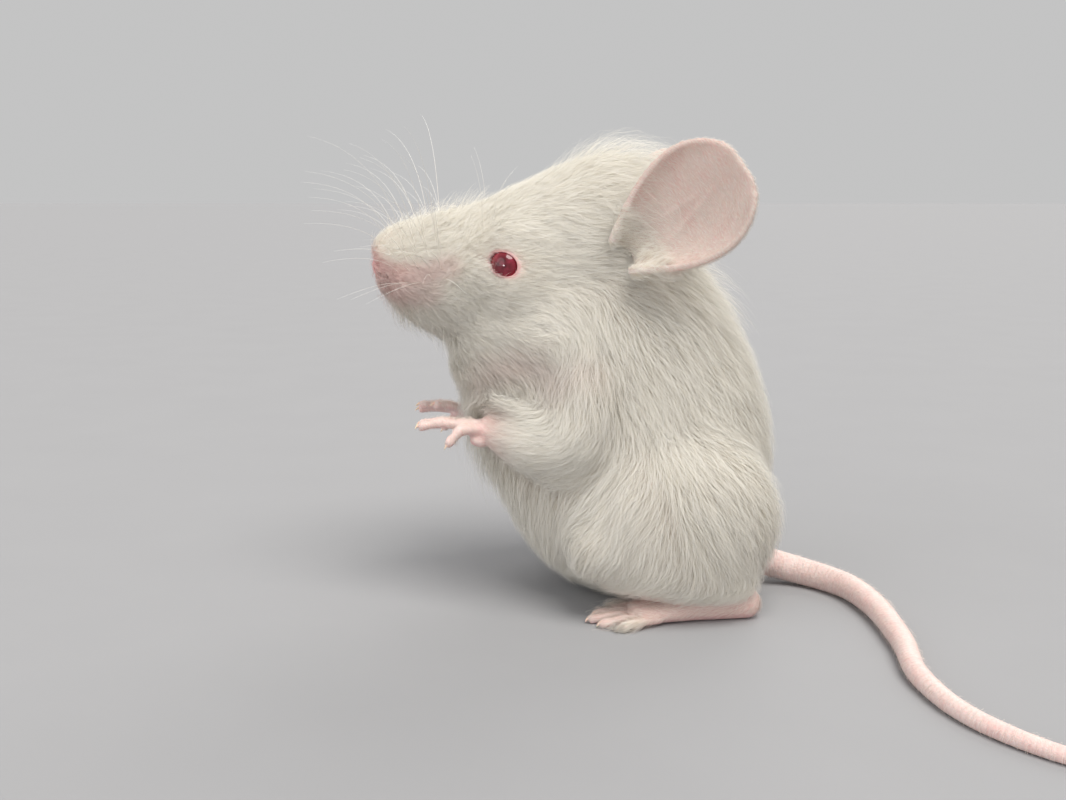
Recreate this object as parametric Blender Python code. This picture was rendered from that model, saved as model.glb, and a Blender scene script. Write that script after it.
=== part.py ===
"""White pet mouse sitting up on its haunches: a life-size still model, in named solids.

Run with: blender --background --python part.py
Metres, +Z up, floor at z = 0. The mouse faces -X, so its left side is towards -Y.
The solids reach out to the tips of the coat. The body is modelled whole from lofted
forms, fused and smoothed, and then parted into nodes with thin cuts.
Lengths below are in millimetres, in a body frame with the floor at z = 0, the spine in
the plane y = 0 and x = 0 just behind the eyes. An empty carries all the pieces, and
puts the middle of the model's foot print at the origin.
"""

import math

import bmesh
import bpy
from mathutils import Matrix, Vector

MM = 0.001
ROOT = "mouse"
GAP = 0.3  # between two nodes that meet
SIDES = {"left": -1.0, "right": 1.0}

# --- Driving sizes ---------------------------------------------------------------------
# Head: each row is x, top z, bottom z, half width, and how much narrower the top is.
HEAD_ROWS = [
    (-22.2, 40.6, 38.2, 1.3, 0.0),
    (-21.7, 42.0, 36.9, 2.3, 0.0),
    (-20.6, 43.1, 35.2, 3.1, 0.08),
    (-19.0, 43.9, 33.4, 3.8, 0.12),
    (-17.0, 44.5, 31.8, 4.7, 0.18),
    (-14.4, 45.1, 30.5, 5.6, 0.22),
    (-11.6, 45.9, 29.7, 6.3, 0.24),
    (-8.8, 47.0, 29.1, 6.9, 0.22),
    (-6.0, 48.4, 28.7, 7.6, 0.16),
    (-3.0, 49.6, 28.5, 8.4, 0.12),
    (0.0, 51.0, 28.5, 9.1, 0.08),
    (3.0, 52.2, 28.8, 9.5, 0.05),
    (6.0, 52.8, 29.6, 9.4, 0.03),
    (9.0, 52.1, 31.6, 8.8, 0.0),
    (12.0, 49.9, 34.6, 7.4, 0.0),
    (14.5, 46.0, 38.0, 4.8, 0.0),
]
# Trunk: x and z of the middle, half depth and half width, from the neck to the floor.
TRUNK_ROWS = [
    (-2.4, 40.6, 9.4, 8.4),
    (-0.4, 35.6, 14.6, 9.8),
    (3.0, 30.1, 16.8, 11.8),
    (6.8, 22.4, 17.6, 13.6),
    (9.8, 14.4, 17.0, 14.8),
    (12.2, 8.0, 14.4, 14.4),
    (14.0, 3.6, 10.2, 11.0),
    (15.4, 0.9, 4.2, 5.0),
]
EYE_CENTRE = (-6.0, 6.25, 39.2)  # of the right eye
EYE_RADIUS = 2.05
NOSE_CENTRE = (-21.2, 0.0, 39.6)
NOSE_RADII = (2.0, 2.2, 2.1)
WHISKER_PAD = ((-16.0, 3.0, 36.8), (3.8, 2.3, 3.2))
CHEEK = ((0.5, 5.6, 34.8), (7.2, 4.2, 5.6))

EAR_ROOT = (7.9, 7.4, 40.4)
EAR_LENGTH, EAR_HALF_WIDTH, EAR_CUP, EAR_WALL = 16.5, 6.4, 3.2, 0.8
EAR_BLUNT = 0.62  # the share of the length where the rim starts to round off
EAR_LENGTH_AXIS = (0.66, 0.46, 0.60)
EAR_FRONT = (-0.42, 0.88, 0.10)  # the way the hollow of the ear looks

THIGH = ((13.2, 11.0, 11.0), (12.4, 7.2, 10.6), -14.0)
SHOULDER = ((2.2, 8.0, 27.0), (6.6, 4.8, 7.6), 0.0)
SHANK = [(4.2, 12.4, 8.6, 4.4), (11.0, 12.8, 5.6, 3.4), (19.0, 12.0, 3.0, 2.3)]
UPPER_ARM = [(3.6, 9.0, 27.0, 4.6), (2.6, 10.2, 22.8, 4.4), (0.6, 10.4, 19.4, 3.9)]
# The left forearm, then the right one, which reaches a little further.
FOREARMS = {
    "left": [(0.6, 10.4, 19.4, 3.9), (-4.4, 8.8, 19.5, 2.9), (-8.5, 6.8, 20.4, 1.6)],
    "right": [(0.6, 10.4, 19.4, 3.9), (-4.8, 8.6, 19.6, 2.9), (-9.8, 6.2, 19.5, 1.6)],
}

# Forepaw: where it points, where its back looks, and each digit as side step, how far
# back it starts, spread and droop in degrees, and length. The thumb is only a stub.
PAW_POINTS = {"left": (-0.97, -0.06, 0.23), "right": (-0.94, -0.06, 0.34)}
PAW_BACK = {"left": (0.15, -0.10, 0.95), "right": (0.30, 0.40, 0.90)}
PALM_LENGTH = 3.1
# Along the palm: how far from the wrist, half width and half height.
PALM_ROWS = [(-1.2, 1.35, 1.25), (0.8, 1.45, 1.15), (2.1, 1.95, 1.05), (3.1, 1.85, 0.85)]
PALM_PAD = (0.5, 1.25, 1.15)  # at the wrist's under side: along, below and radius
FORE_DIGITS = [
    (-1.35, 0.7, -14.0, 18.0, 3.7),
    (-0.46, 0.1, -5.0, 20.0, 4.7),
    (0.46, 0.1, 6.0, 23.0, 4.6),
    (1.3, 1.6, 32.0, 60.0, 3.6),
]
THUMB = (0.95, 0.9, 0.4, 1.0)  # inwards, along, below and length
THUMB_RADII = (0.5, 0.42)
FORE_DIGIT_RADIUS = 0.68

# Hind foot: heel to toe root on the floor, then each toe as spread and length.
HEEL, TOE_ROOT = (20.8, 11.8, 1.7), (8.6, 13.4, 1.0)
FOOT_RADII = [(1.7, 1.9), (1.75, 1.45), (2.35, 1.05)]
HIND_TOES = [(-1.95, -17.0, 3.6), (-1.0, -7.0, 5.0), (0.0, 0.0, 5.4), (1.0, 7.0, 5.0), (1.95, 17.0, 3.7)]
HIND_TOE_RADIUS = 0.62
CLAW_LENGTH, CLAW_RADIUS = 1.0, 0.3

# Tail: the way it lies on the floor, as x and y, and its radius from root to tip.
TAIL_ROUTE = [
    (22.0, 0.0),
    (29.0, -0.6),
    (33.6, -5.0),
    (35.4, -12.0),
    (35.4, -22.0),
    (34.4, -31.0),
    (36.4, -40.0),
    (42.6, -47.5),
    (51.0, -50.5),
    (60.0, -48.0),
]
TAIL_ROOT_RADIUS, TAIL_TIP_RADIUS, TAIL_SIDES = 1.9, 0.5, 9
TAIL_ROOT_RISE = 2.4  # how much higher than the floor the tail's root is
TAIL_CUTS = (0.34, 0.67)  # shares of the length

# Where the neck starts, what it stays under, and the floor: x, z and the slope up
# towards the tail, in degrees.
NECK_PLANE = (-15.0, 21.5, 18.0)
NAPE_PLANE = (-15.0, 31.5, 23.0)
FLOOR_PLANE = (0.0, 0.0, 0.0)

HEAD_SIDES, TRUNK_SIDES = 28, 32  # corners round each form before it is fused
BODY_VOXEL, BODY_SMOOTHING = 0.5, 14
REGION_SWELL = 0.7  # how far a limb's or the head's own node reaches past its form
# About how many triangles each fused form keeps.
BODY_TRIANGLES, REGION_TRIANGLES, HEAD_REGION_TRIANGLES = 1900, 180, 320
PAW_TRIANGLES, FOOT_TRIANGLES = 380, 320

COLOURS = {  # colour, roughness
    "coat": ((0.86, 0.83, 0.76), 0.85),
    "bare_skin": ((0.86, 0.55, 0.52), 0.55),
    "ear_skin": ((0.88, 0.66, 0.60), 0.60),
    "tail_skin": ((0.87, 0.62, 0.60), 0.55),
    "eye": ((0.45, 0.02, 0.04), 0.08),
}


# --- Scene helpers ---------------------------------------------------------------------
def clear_scene():
    for obj in list(bpy.data.objects):
        bpy.data.objects.remove(obj, do_unlink=True)


def material(name):
    found = bpy.data.materials.get(name)
    if found:
        return found
    colour, roughness = COLOURS[name]
    made = bpy.data.materials.new(name)
    made.use_nodes = True
    shader = made.node_tree.nodes["Principled BSDF"]
    shader.inputs["Base Color"].default_value = (*colour, 1.0)
    shader.inputs["Roughness"].default_value = roughness
    shader.inputs["Metallic"].default_value = 0.0
    made.diffuse_color = (*colour, 1.0)
    return made


def new_object(name, mesh, finish=None, helper=False):
    obj = bpy.data.objects.new(name, mesh)
    obj.parent = bpy.data.objects.get(ROOT)
    bpy.context.scene.collection.objects.link(obj)
    if finish:
        mesh.materials.clear()
        mesh.materials.append(material(finish))
    if helper:
        obj.hide_render = True
        obj.display_type = "WIRE"
    return obj


def evaluated_mesh(obj):
    """The object's mesh with its modifiers applied."""
    graph = bpy.context.evaluated_depsgraph_get()
    graph.update()
    return bpy.data.meshes.new_from_object(obj.evaluated_get(graph), depsgraph=graph)


def drop(obj):
    bpy.data.objects.remove(obj, do_unlink=True)


# --- Shapes ----------------------------------------------------------------------------
def placed(point, side=1.0):
    """A point of the body frame in metres. A side of -1 mirrors it to the left."""
    x, y, z = point
    return Vector((x, y * side, z)) * MM


def catmull_rom(a, b, c, d, t):
    """The value a share t of the way from b to c."""
    bend = 2 * a - 5 * b + 4 * c - d
    twist = 3 * b - a - 3 * c + d
    return 0.5 * (2 * b + (c - a) * t + bend * t**2 + twist * t**3)


def smooth_rows(rows, steps):
    """A smooth curve through rows of numbers, with this many steps between two rows."""
    rows = [tuple(float(value) for value in row) for row in rows]
    padded = [rows[0], *rows, rows[-1]]
    found = []
    for i in range(len(rows) - 1):
        for step in range(steps):
            t = step / steps
            found.append(tuple(catmull_rom(*values, t) for values in zip(*padded[i : i + 4])))
    found.append(rows[-1])
    return found


def skin_rings(bm, rings):
    """Faces between neighbouring rings of corners, and one face over each end."""
    made = [[bm.verts.new(corner) for corner in ring] for ring in rings]
    count = len(made[0])
    for lower, upper in zip(made, made[1:]):
        for k in range(count):
            bm.faces.new((lower[k], lower[(k + 1) % count], upper[(k + 1) % count], upper[k]))
    bm.faces.new(list(reversed(made[0])))
    bm.faces.new(made[-1])


def ring_of(centre, across, up, half_width, half_height, count, taper=0.0):
    corners = []
    for k in range(count):
        turn = 2 * math.pi * k / count
        wide = half_width * math.cos(turn) * (1 - taper * math.sin(turn))
        corners.append(centre + across * wide + up * (half_height * math.sin(turn)))
    return corners


def tube(bm, rows, across_hint, count=14, round_ends=True):
    """A tube along rows of (centre, half width, half height) in metres."""
    rows = list(rows)
    tangents = []
    for i in range(len(rows)):
        before, after = rows[max(i - 1, 0)][0], rows[min(i + 1, len(rows) - 1)][0]
        tangents.append((after - before).normalized())
    rings = []

    def add(centre, tangent, wide, high):
        up = tangent.cross(across_hint).normalized()
        across = up.cross(tangent).normalized()
        rings.append(ring_of(centre, across, up, wide, high, count))

    for share in (math.sin(math.radians(a)) for a in (72, 40)) if round_ends else ():
        centre, wide, high = rows[0]
        left = math.sqrt(1 - share * share)
        add(centre - tangents[0] * min(wide, high) * share, tangents[0], wide * left, high * left)
    for (centre, wide, high), tangent in zip(rows, tangents):
        add(centre, tangent, wide, high)
    for share in (math.sin(math.radians(a)) for a in (40, 72)) if round_ends else ():
        centre, wide, high = rows[-1]
        left = math.sqrt(1 - share * share)
        add(centre + tangents[-1] * min(wide, high) * share, tangents[-1], wide * left, high * left)
    skin_rings(bm, rings)


def limb(bm, rows, side, grow=0.0, steps=3):
    """A round tube along rows of x, y, z and radius, in millimetres."""
    path = [
        (placed(row[:3], side), (row[3] + grow) * MM, (row[3] + grow) * MM)
        for row in smooth_rows(rows, steps)
    ]
    tube(bm, path, Vector((0.0, 1.0, 0.0)))


def ellipsoid(bm, centre, radii, side=1.0, tilt=0.0, grow=0.0, segments=16):
    """tilt turns it about Y, in degrees."""
    scale = Matrix.Diagonal([*((r + grow) * MM for r in radii), 1.0])
    turn = Matrix.Rotation(math.radians(tilt), 4, "Y")
    matrix = Matrix.Translation(placed(centre, side)) @ turn @ scale
    rings = segments * 5 // 8
    bmesh.ops.create_uvsphere(
        bm, u_segments=segments, v_segments=rings, radius=1.0, matrix=matrix
    )


def mesh_of(name, *makers):
    """One mesh from functions that each add closed forms to a bmesh."""
    bm = bmesh.new()
    for make in makers:
        make(bm)
    bmesh.ops.recalc_face_normals(bm, faces=bm.faces)
    mesh = bpy.data.meshes.new(name)
    bm.to_mesh(mesh)
    bm.free()
    return mesh


def helper(name, *makers):
    return new_object(name, mesh_of(name, *makers), helper=True)


def half_space(name, plane, toward, shift=0.0):
    """A block that fills one side of a plane: toward is 1 above it and -1 below it.

    A plane is a point's x and z, and its slope towards the tail in degrees. A shift
    moves the block's face along its own outward normal, in millimetres.
    """
    x, z, slope = plane
    size = 160.0 * MM

    def make(bm):
        lift = Matrix.Translation((0.0, 0.0, toward * (size / 2 - shift * MM)))
        turn = Matrix.Rotation(math.radians(-slope), 4, "Y")
        place = Matrix.Translation(placed((x, 0.0, z)))
        bmesh.ops.create_cube(bm, size=size, matrix=place @ turn @ lift)

    return helper(name, make)


def fused(name, mesh, voxel, smoothing, triangles):
    """Overlapping closed forms as one smooth skin of about this many triangles."""
    work = new_object(name + "_work", mesh, helper=True)
    remesh = work.modifiers.new("Fuse", "REMESH")
    remesh.mode = "VOXEL"
    remesh.voxel_size = voxel * MM
    smooth = work.modifiers.new("Blend", "SMOOTH")
    smooth.factor = 0.5
    smooth.iterations = smoothing
    skin = evaluated_mesh(work)
    drop(work)
    whole = new_object(name, skin, helper=True)
    faces = 2 * len(skin.polygons)
    decimate = whole.modifiers.new("Thin", "DECIMATE")
    decimate.ratio = min(1.0, triangles / faces)
    thinned = evaluated_mesh(whole)
    drop(whole)
    return new_object(name, thinned, helper=True)


def boolean(obj, operation, cutter):
    cut = obj.modifiers.new(cutter.name, "BOOLEAN")
    cut.operation = operation
    cut.object = cutter
    cut.solver = "EXACT"


def node(name, source, finish, keep=(), cut=()):
    """A visible node: the source's mesh inside every keep form and outside every cut form."""
    obj = new_object(name, source.data.copy(), finish)
    for cutter in keep:
        boolean(obj, "INTERSECT", cutter)
    for cutter in cut:
        boolean(obj, "DIFFERENCE", cutter)
    obj.data.shade_smooth()
    obj.data.set_sharp_from_angle(angle=math.radians(40))
    return obj


# --- The furred body -------------------------------------------------------------------
def head_form(bm, grow=0.0):
    rings = []
    rows = smooth_rows(HEAD_ROWS, 3)
    first, last = rows[0][0], rows[-1][0]
    across, up = Vector((0.0, 1.0, 0.0)), Vector((0.0, 0.0, 1.0))
    for x, top, bottom, half_width, taper in rows:
        ahead = grow * (2 * (x - first) / (last - first) - 1)
        centre = placed((x + ahead, 0.0, (top + bottom) / 2))
        wide = (half_width + grow) * MM
        high = ((top - bottom) / 2 + grow) * MM
        rings.append(ring_of(centre, across, up, wide, high, HEAD_SIDES, taper))
    skin_rings(bm, rings)
    for side in SIDES.values():
        ellipsoid(bm, *WHISKER_PAD, side=side, grow=grow)
        ellipsoid(bm, *CHEEK, side=side, grow=grow)


def trunk_form(bm):
    rows = [
        (placed((x, 0.0, z)), half_width * MM, half_depth * MM)
        for x, z, half_depth, half_width in smooth_rows(TRUNK_ROWS, 3)
    ]
    tube(bm, rows, Vector((0.0, 1.0, 0.0)), count=TRUNK_SIDES)


def hind_leg_form(bm, side, grow=0.0):
    centre, radii, tilt = THIGH
    ellipsoid(bm, centre, radii, side=side, tilt=tilt, grow=grow)
    limb(bm, SHANK, side, grow)


def fore_leg_form(bm, name, grow=0.0):
    side = SIDES[name]
    limb(bm, UPPER_ARM + FOREARMS[name][1:], side, grow)


def shoulder_form(bm, side):
    centre, radii, tilt = SHOULDER
    ellipsoid(bm, centre, radii, side=side, tilt=tilt)


def body():
    makers = [head_form, trunk_form]
    for name, side in SIDES.items():
        makers.append(lambda bm, side=side: hind_leg_form(bm, side))
        makers.append(lambda bm, name=name: fore_leg_form(bm, name))
        makers.append(lambda bm, side=side: shoulder_form(bm, side))
    return fused("body", mesh_of("body", *makers), BODY_VOXEL, BODY_SMOOTHING, BODY_TRIANGLES)


# --- Feet ------------------------------------------------------------------------------
def digit(bm, root, along, down, length, radius, droop):
    """A bent digit with a knuckle, a soft tip and a claw. Metres, apart from droop in degrees."""
    middle = (along + down * math.tan(math.radians(droop * 0.3))).normalized()
    end = (along + down * math.tan(math.radians(droop))).normalized()
    knuckle = root + middle * (length * 0.5)
    tip = knuckle + end * (length * 0.5)
    across = along.cross(down).normalized()
    rows = [
        (root - along * (length * 0.25), radius, radius),
        (root + middle * (length * 0.2), radius * 0.95, radius * 0.95),
        (knuckle, radius * 1.06, radius * 1.06),
        (knuckle + end * (length * 0.28), radius * 0.92, radius * 0.92),
        (tip, radius * 0.95, radius * 0.9),
    ]
    tube(bm, rows, across, count=10)
    point = (end + down * 0.45).normalized()
    start = tip + end * (radius * 0.35) - down * (radius * 0.35)
    claw = [
        (start, CLAW_RADIUS * MM, CLAW_RADIUS * MM),
        (start + point * (CLAW_LENGTH * 0.55 * MM), CLAW_RADIUS * 0.9 * MM, CLAW_RADIUS * 0.9 * MM),
        (start + point * (CLAW_LENGTH * MM), CLAW_RADIUS * 0.75 * MM, CLAW_RADIUS * 0.75 * MM),
    ]
    tube(bm, claw, across, count=8)


def paw_axes(name):
    """Along the paw, out towards the little digit, and out of its back."""
    side = SIDES[name]
    mirror = Vector((1.0, side, 1.0))
    along = (Vector(PAW_POINTS[name]) * mirror).normalized()
    back = Vector(PAW_BACK[name]) * mirror
    back = (back - along * back.dot(along)).normalized()
    return along, back.cross(along).normalized() * -side, back


def fore_paw(name):
    side = SIDES[name]
    along, outer, back = paw_axes(name)
    wrist = placed(FOREARMS[name][-1][:3], side)
    knuckles = wrist + along * (PALM_LENGTH * MM)

    def palm(bm):
        rows = [
            (wrist + along * (ahead * MM), wide * MM, high * MM) for ahead, wide, high in PALM_ROWS
        ]
        tube(bm, rows, outer, count=14)
        ahead, below, radius = (value * MM for value in PALM_PAD)
        pad = wrist + along * ahead - back * below
        ends = [(pad - along * radius * 0.3, radius * 0.95, radius * 0.8)]
        ends.append((pad + along * radius * 0.4, radius, radius * 0.8))
        tube(bm, ends, outer, count=12)

    def digits(bm):
        for step, behind, spread, droop, length in FORE_DIGITS:
            turned = along * math.cos(math.radians(spread)) + outer * math.sin(math.radians(spread))
            root = knuckles + outer * (step * MM) - along * (behind * MM)
            digit(bm, root, turned.normalized(), -back, length * MM, FORE_DIGIT_RADIUS * MM, droop)

    def thumb(bm):
        inwards, ahead, below, length = (value * MM for value in THUMB)
        root = wrist - outer * inwards + along * ahead - back * below
        point = (along * 0.5 - outer * 0.7 - back * 0.5).normalized()
        thick, thin = (radius * MM for radius in THUMB_RADII)
        tube(bm, [(root, thick, thick), (root + point * length, thin, thin)], back, count=8)

    return fused(f"paw_{name}", mesh_of("paw", palm, digits, thumb), 0.16, 2, PAW_TRIANGLES)


def hind_foot(name):
    side = SIDES[name]
    heel, toes = placed(HEEL, side), placed(TOE_ROOT, side)
    along = (toes - heel).normalized()
    along.z = 0.0
    along.normalize()
    outer = Vector((0.0, side, 0.0))
    outer = (outer - along * outer.dot(along)).normalized()
    down = Vector((0.0, 0.0, -1.0))

    def sole(bm):
        points = [heel, heel.lerp(toes, 0.5), toes]
        rows = [(point, wide * MM, high * MM) for point, (wide, high) in zip(points, FOOT_RADII)]
        tube(bm, rows, outer, count=14)

    def digits(bm):
        for step, spread, length in HIND_TOES:
            turned = along * math.cos(math.radians(spread)) + outer * math.sin(math.radians(spread))
            root = toes + outer * (step * MM) - along * (0.55 * abs(step) * MM)
            root.z = (HIND_TOE_RADIUS + 0.25) * MM
            digit(bm, root, turned.normalized(), down, length * MM, HIND_TOE_RADIUS * MM, 5.0)

    return fused(f"foot_{name}", mesh_of("foot", sole, digits), 0.18, 2, FOOT_TRIANGLES)


# --- Ears, eyes and tail ---------------------------------------------------------------
def eye_form(bm, side, grow=0.0):
    ellipsoid(bm, EYE_CENTRE, (EYE_RADIUS,) * 3, side, grow=grow)


def ear(name):
    """A cupped leaf, thickened, with its root curled into the head."""
    side = SIDES[name]
    mirror = Vector((1.0, side, 1.0))
    up = (Vector(EAR_LENGTH_AXIS) * mirror).normalized()
    front = Vector(EAR_FRONT) * mirror
    front = (front - up * front.dot(up)).normalized()
    across = up.cross(front).normalized()
    root = placed(EAR_ROOT, side)
    along_steps, across_steps = 8, 7

    def leaf(bm):
        grid = []
        for i in range(along_steps + 1):
            share = i / along_steps
            if share > EAR_BLUNT:
                half = math.sqrt(1 - ((share - EAR_BLUNT) / (1.03 - EAR_BLUNT)) ** 2)
            else:
                half = 0.46 + 0.54 * math.sin(math.pi / 2 * share / EAR_BLUNT)
            row = []
            for j in range(across_steps + 1):
                t = 2 * j / across_steps - 1
                curl = EAR_CUP * (1 - share**2) * abs(t) ** 1.8 - 0.9 * math.sin(math.pi * share)
                point = root + up * (EAR_LENGTH * share * MM)
                point += across * (EAR_HALF_WIDTH * half * math.sin(t * math.pi / 2) * MM)
                point += front * (curl * MM)
                row.append(bm.verts.new(point))
            grid.append(row)
        for low, high in zip(grid, grid[1:]):
            for j in range(across_steps):
                bm.faces.new((low[j], low[j + 1], high[j + 1], high[j]))

    leaf_object = helper(f"ear_leaf_{name}", leaf)
    wall = leaf_object.modifiers.new("Wall", "SOLIDIFY")
    wall.thickness = EAR_WALL * MM
    wall.offset = 0.0
    thick = evaluated_mesh(leaf_object)
    drop(leaf_object)
    return new_object(f"ear_form_{name}", thick, helper=True)


def tail_rows():
    """Middle points and radii of the tail, from its root to its tip."""
    flat = smooth_rows(TAIL_ROUTE, 4)
    lengths = [0.0]
    for a, b in zip(flat, flat[1:]):
        lengths.append(lengths[-1] + math.dist(a, b))
    rows = []
    for (x, y), reached in zip(flat, lengths):
        share = reached / lengths[-1]
        radius = TAIL_ROOT_RADIUS + (TAIL_TIP_RADIUS - TAIL_ROOT_RADIUS) * share**0.85
        rise = TAIL_ROOT_RISE * max(0.0, 1 - share / 0.14) ** 2
        rows.append((share, placed((x, y, radius * 0.93 + rise)), radius * MM))
    return rows


def tail_piece(low, high):
    """The stretch of the tail between two shares of its length, less a gap at each cut."""
    rows = tail_rows()
    end = rows[-1][0]
    points = [(point, radius, radius) for share, point, radius in rows if low <= share <= high]
    trim = GAP * MM / 2
    if low > 0.0:
        ahead = (points[1][0] - points[0][0]).normalized()
        points[0] = (points[0][0] + ahead * trim, points[0][1], points[0][2])
    if high < end:
        nearest = next(i for i, row in enumerate(rows) if row[0] > high)
        step = rows[nearest]
        back = (points[-1][0] - step[1]).normalized()
        points.append((step[1] + back * trim, step[2], step[2]))
    return points


def tail_form(bm, points):
    tube(bm, points, Vector((0.0, 0.0, 1.0)), TAIL_SIDES, round_ends=False)


def foot_print_centre():
    """The point on the floor under the middle of the visible nodes' box."""
    graph = bpy.context.evaluated_depsgraph_get()
    graph.update()
    corners = [
        obj.matrix_world @ Vector(corner)
        for obj in bpy.data.objects
        if obj.type == "MESH" and not obj.hide_render
        for corner in obj.evaluated_get(graph).bound_box
    ]
    low = [min(corner[i] for corner in corners) for i in range(2)]
    high = [max(corner[i] for corner in corners) for i in range(2)]
    return Vector(((low[0] + high[0]) / 2, (low[1] + high[1]) / 2, 0.0))


# --- Parting the model into nodes ------------------------------------------------------
def room_round(source):
    """A copy of a form that reaches past it by the gap."""
    room = new_object(f"{source.name}_room", source.data.copy(), helper=True)
    swell = room.modifiers.new("Grow", "DISPLACE")
    swell.strength = GAP * MM
    swell.mid_level = 0.0
    return room


def region_and_room(name, form, triangles=REGION_TRIANGLES):
    """Two cutters from a form: what its node keeps of the body, and what its neighbours lose."""
    mesh = mesh_of("region", lambda bm: form(bm, grow=REGION_SWELL))
    region = fused(f"{name}_region", mesh, 0.6, 4, triangles)
    return region, room_round(region)


def build():
    clear_scene()
    root = bpy.data.objects.new(ROOT, None)
    bpy.context.scene.collection.objects.link(root)
    whole = body()
    grown = room_round(whole)
    below = half_space("below_floor", FLOOR_PLANE, -1)

    eyes, sockets, regions, rooms = {}, [], {}, {}
    for name, side in SIDES.items():
        eyes[name] = helper(f"eye_form_{name}", lambda bm, s=side: eye_form(bm, s))
        sockets.append(helper(f"socket_{name}", lambda bm, s=side: eye_form(bm, s, GAP)))
        for kind, form in (
            ("hindleg", lambda bm, grow, s=side: hind_leg_form(bm, s, grow)),
            ("foreleg", lambda bm, grow, n=name: fore_leg_form(bm, n, grow)),
        ):
            limb_name = f"{kind}_{name}"
            regions[limb_name], rooms[limb_name] = region_and_room(limb_name, form)

    head_region, head_room = region_and_room("head", head_form, HEAD_REGION_TRIANGLES)
    neck_region = half_space("neck_region", NECK_PLANE, 1)
    neck_room = half_space("neck_room", NECK_PLANE, 1, GAP)
    under_nape = half_space("under_nape", NAPE_PLANE, -1)

    nose_region = helper("nose_region", lambda bm: ellipsoid(bm, NOSE_CENTRE, NOSE_RADII))
    nose_room = helper("nose_room", lambda bm: ellipsoid(bm, NOSE_CENTRE, NOSE_RADII, grow=GAP))

    node("head", whole, "coat", keep=[head_region], cut=[nose_room, *sockets])
    node("nose", whole, "bare_skin", keep=[nose_region])
    node("neck", whole, "coat", keep=[neck_region, under_nape], cut=[head_room, *rooms.values()])
    node("trunk", whole, "coat", cut=[head_room, neck_room, *rooms.values(), below])
    for name, side in SIDES.items():
        node(f"eye_{name}", eyes[name], "eye")
        node(f"ear_{name}", ear(name), "ear_skin", cut=[grown])
        hind, fore = f"hindleg_{name}", f"foreleg_{name}"
        foot, paw = hind_foot(name), fore_paw(name)
        node(hind, whole, "coat", keep=[regions[hind]], cut=[below])
        node(fore, whole, "coat", keep=[regions[fore]], cut=[rooms[hind], head_room])
        node(f"hindfoot_{name}", foot, "bare_skin", cut=[grown, below])
        node(f"forepaw_{name}", paw, "bare_skin", cut=[grown])

    cuts = [0.0, *TAIL_CUTS, 1.0]
    for name, low, high in zip(("tail_root", "tail_middle", "tail_tip"), cuts, cuts[1:]):
        points = tail_piece(low, high)
        form = helper(f"{name}_form", lambda bm, p=points: tail_form(bm, p))
        node(name, form, "tail_skin", cut=[grown, below] if low == 0.0 else [below])
    root.location = -foot_print_centre()


build()
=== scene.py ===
"""The looks of the white pet mouse: skin, eyes, claws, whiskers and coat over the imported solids.

Everything is worked out in millimetres in the body frame: the floor at z = 0, the spine
in y = 0, the mouse facing -X. The left eye's CAD node says where that frame lies.
"""

import math

import bmesh
import bpy
import numpy as np
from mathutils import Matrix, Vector
from mathutils.bvhtree import BVHTree
from mathutils.kdtree import KDTree


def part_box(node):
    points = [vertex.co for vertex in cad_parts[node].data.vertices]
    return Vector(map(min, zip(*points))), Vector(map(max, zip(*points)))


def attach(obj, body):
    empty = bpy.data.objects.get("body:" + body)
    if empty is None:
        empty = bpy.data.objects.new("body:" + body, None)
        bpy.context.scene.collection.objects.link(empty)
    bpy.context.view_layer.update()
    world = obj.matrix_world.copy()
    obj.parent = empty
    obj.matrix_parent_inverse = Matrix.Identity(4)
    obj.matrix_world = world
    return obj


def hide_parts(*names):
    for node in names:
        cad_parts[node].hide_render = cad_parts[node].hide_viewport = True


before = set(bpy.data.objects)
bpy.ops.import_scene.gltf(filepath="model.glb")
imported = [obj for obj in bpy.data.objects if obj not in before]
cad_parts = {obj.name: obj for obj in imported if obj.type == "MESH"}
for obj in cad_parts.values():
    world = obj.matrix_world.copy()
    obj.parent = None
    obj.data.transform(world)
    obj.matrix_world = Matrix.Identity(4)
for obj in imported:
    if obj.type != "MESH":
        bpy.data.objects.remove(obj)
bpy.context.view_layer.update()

MM = 0.001
SIDES = {"left": -1.0, "right": 1.0}
rng = np.random.default_rng(11)

# --- Driving sizes, as in the solids -----------------------------------------------------
HEAD_ROWS = [  # x, top z, bottom z, half width, how much narrower the top is
    (-22.2, 40.6, 38.2, 1.3, 0.0),
    (-21.7, 42.0, 36.9, 2.3, 0.0),
    (-20.6, 43.1, 35.2, 3.1, 0.08),
    (-19.0, 43.9, 33.4, 3.8, 0.12),
    (-17.0, 44.5, 31.8, 4.7, 0.18),
    (-14.4, 45.1, 30.5, 5.6, 0.22),
    (-11.6, 45.9, 29.7, 6.3, 0.24),
    (-8.8, 47.0, 29.1, 6.9, 0.22),
    (-6.0, 48.4, 28.7, 7.6, 0.16),
    (-3.0, 49.6, 28.5, 8.4, 0.12),
    (0.0, 51.0, 28.5, 9.1, 0.08),
    (3.0, 52.2, 28.8, 9.5, 0.05),
    (6.0, 52.8, 29.6, 9.4, 0.03),
    (9.0, 52.1, 31.6, 8.8, 0.0),
    (12.0, 49.9, 34.6, 7.4, 0.0),
    (14.5, 46.0, 38.0, 4.8, 0.0),
]
TRUNK_ROWS = [  # x and z of the middle, half depth and half width
    (-2.4, 40.6, 9.4, 8.4),
    (-0.4, 35.6, 14.6, 9.8),
    (3.0, 30.1, 16.8, 11.8),
    (6.8, 22.4, 17.6, 13.6),
    (9.8, 14.4, 17.0, 14.8),
    (12.2, 8.0, 14.4, 14.4),
    (14.0, 3.6, 10.2, 11.0),
    (15.4, 0.9, 4.2, 5.0),
]
HEAD_SLOPE = 0.30  # of the plane between head and body, which rises towards the back
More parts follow.
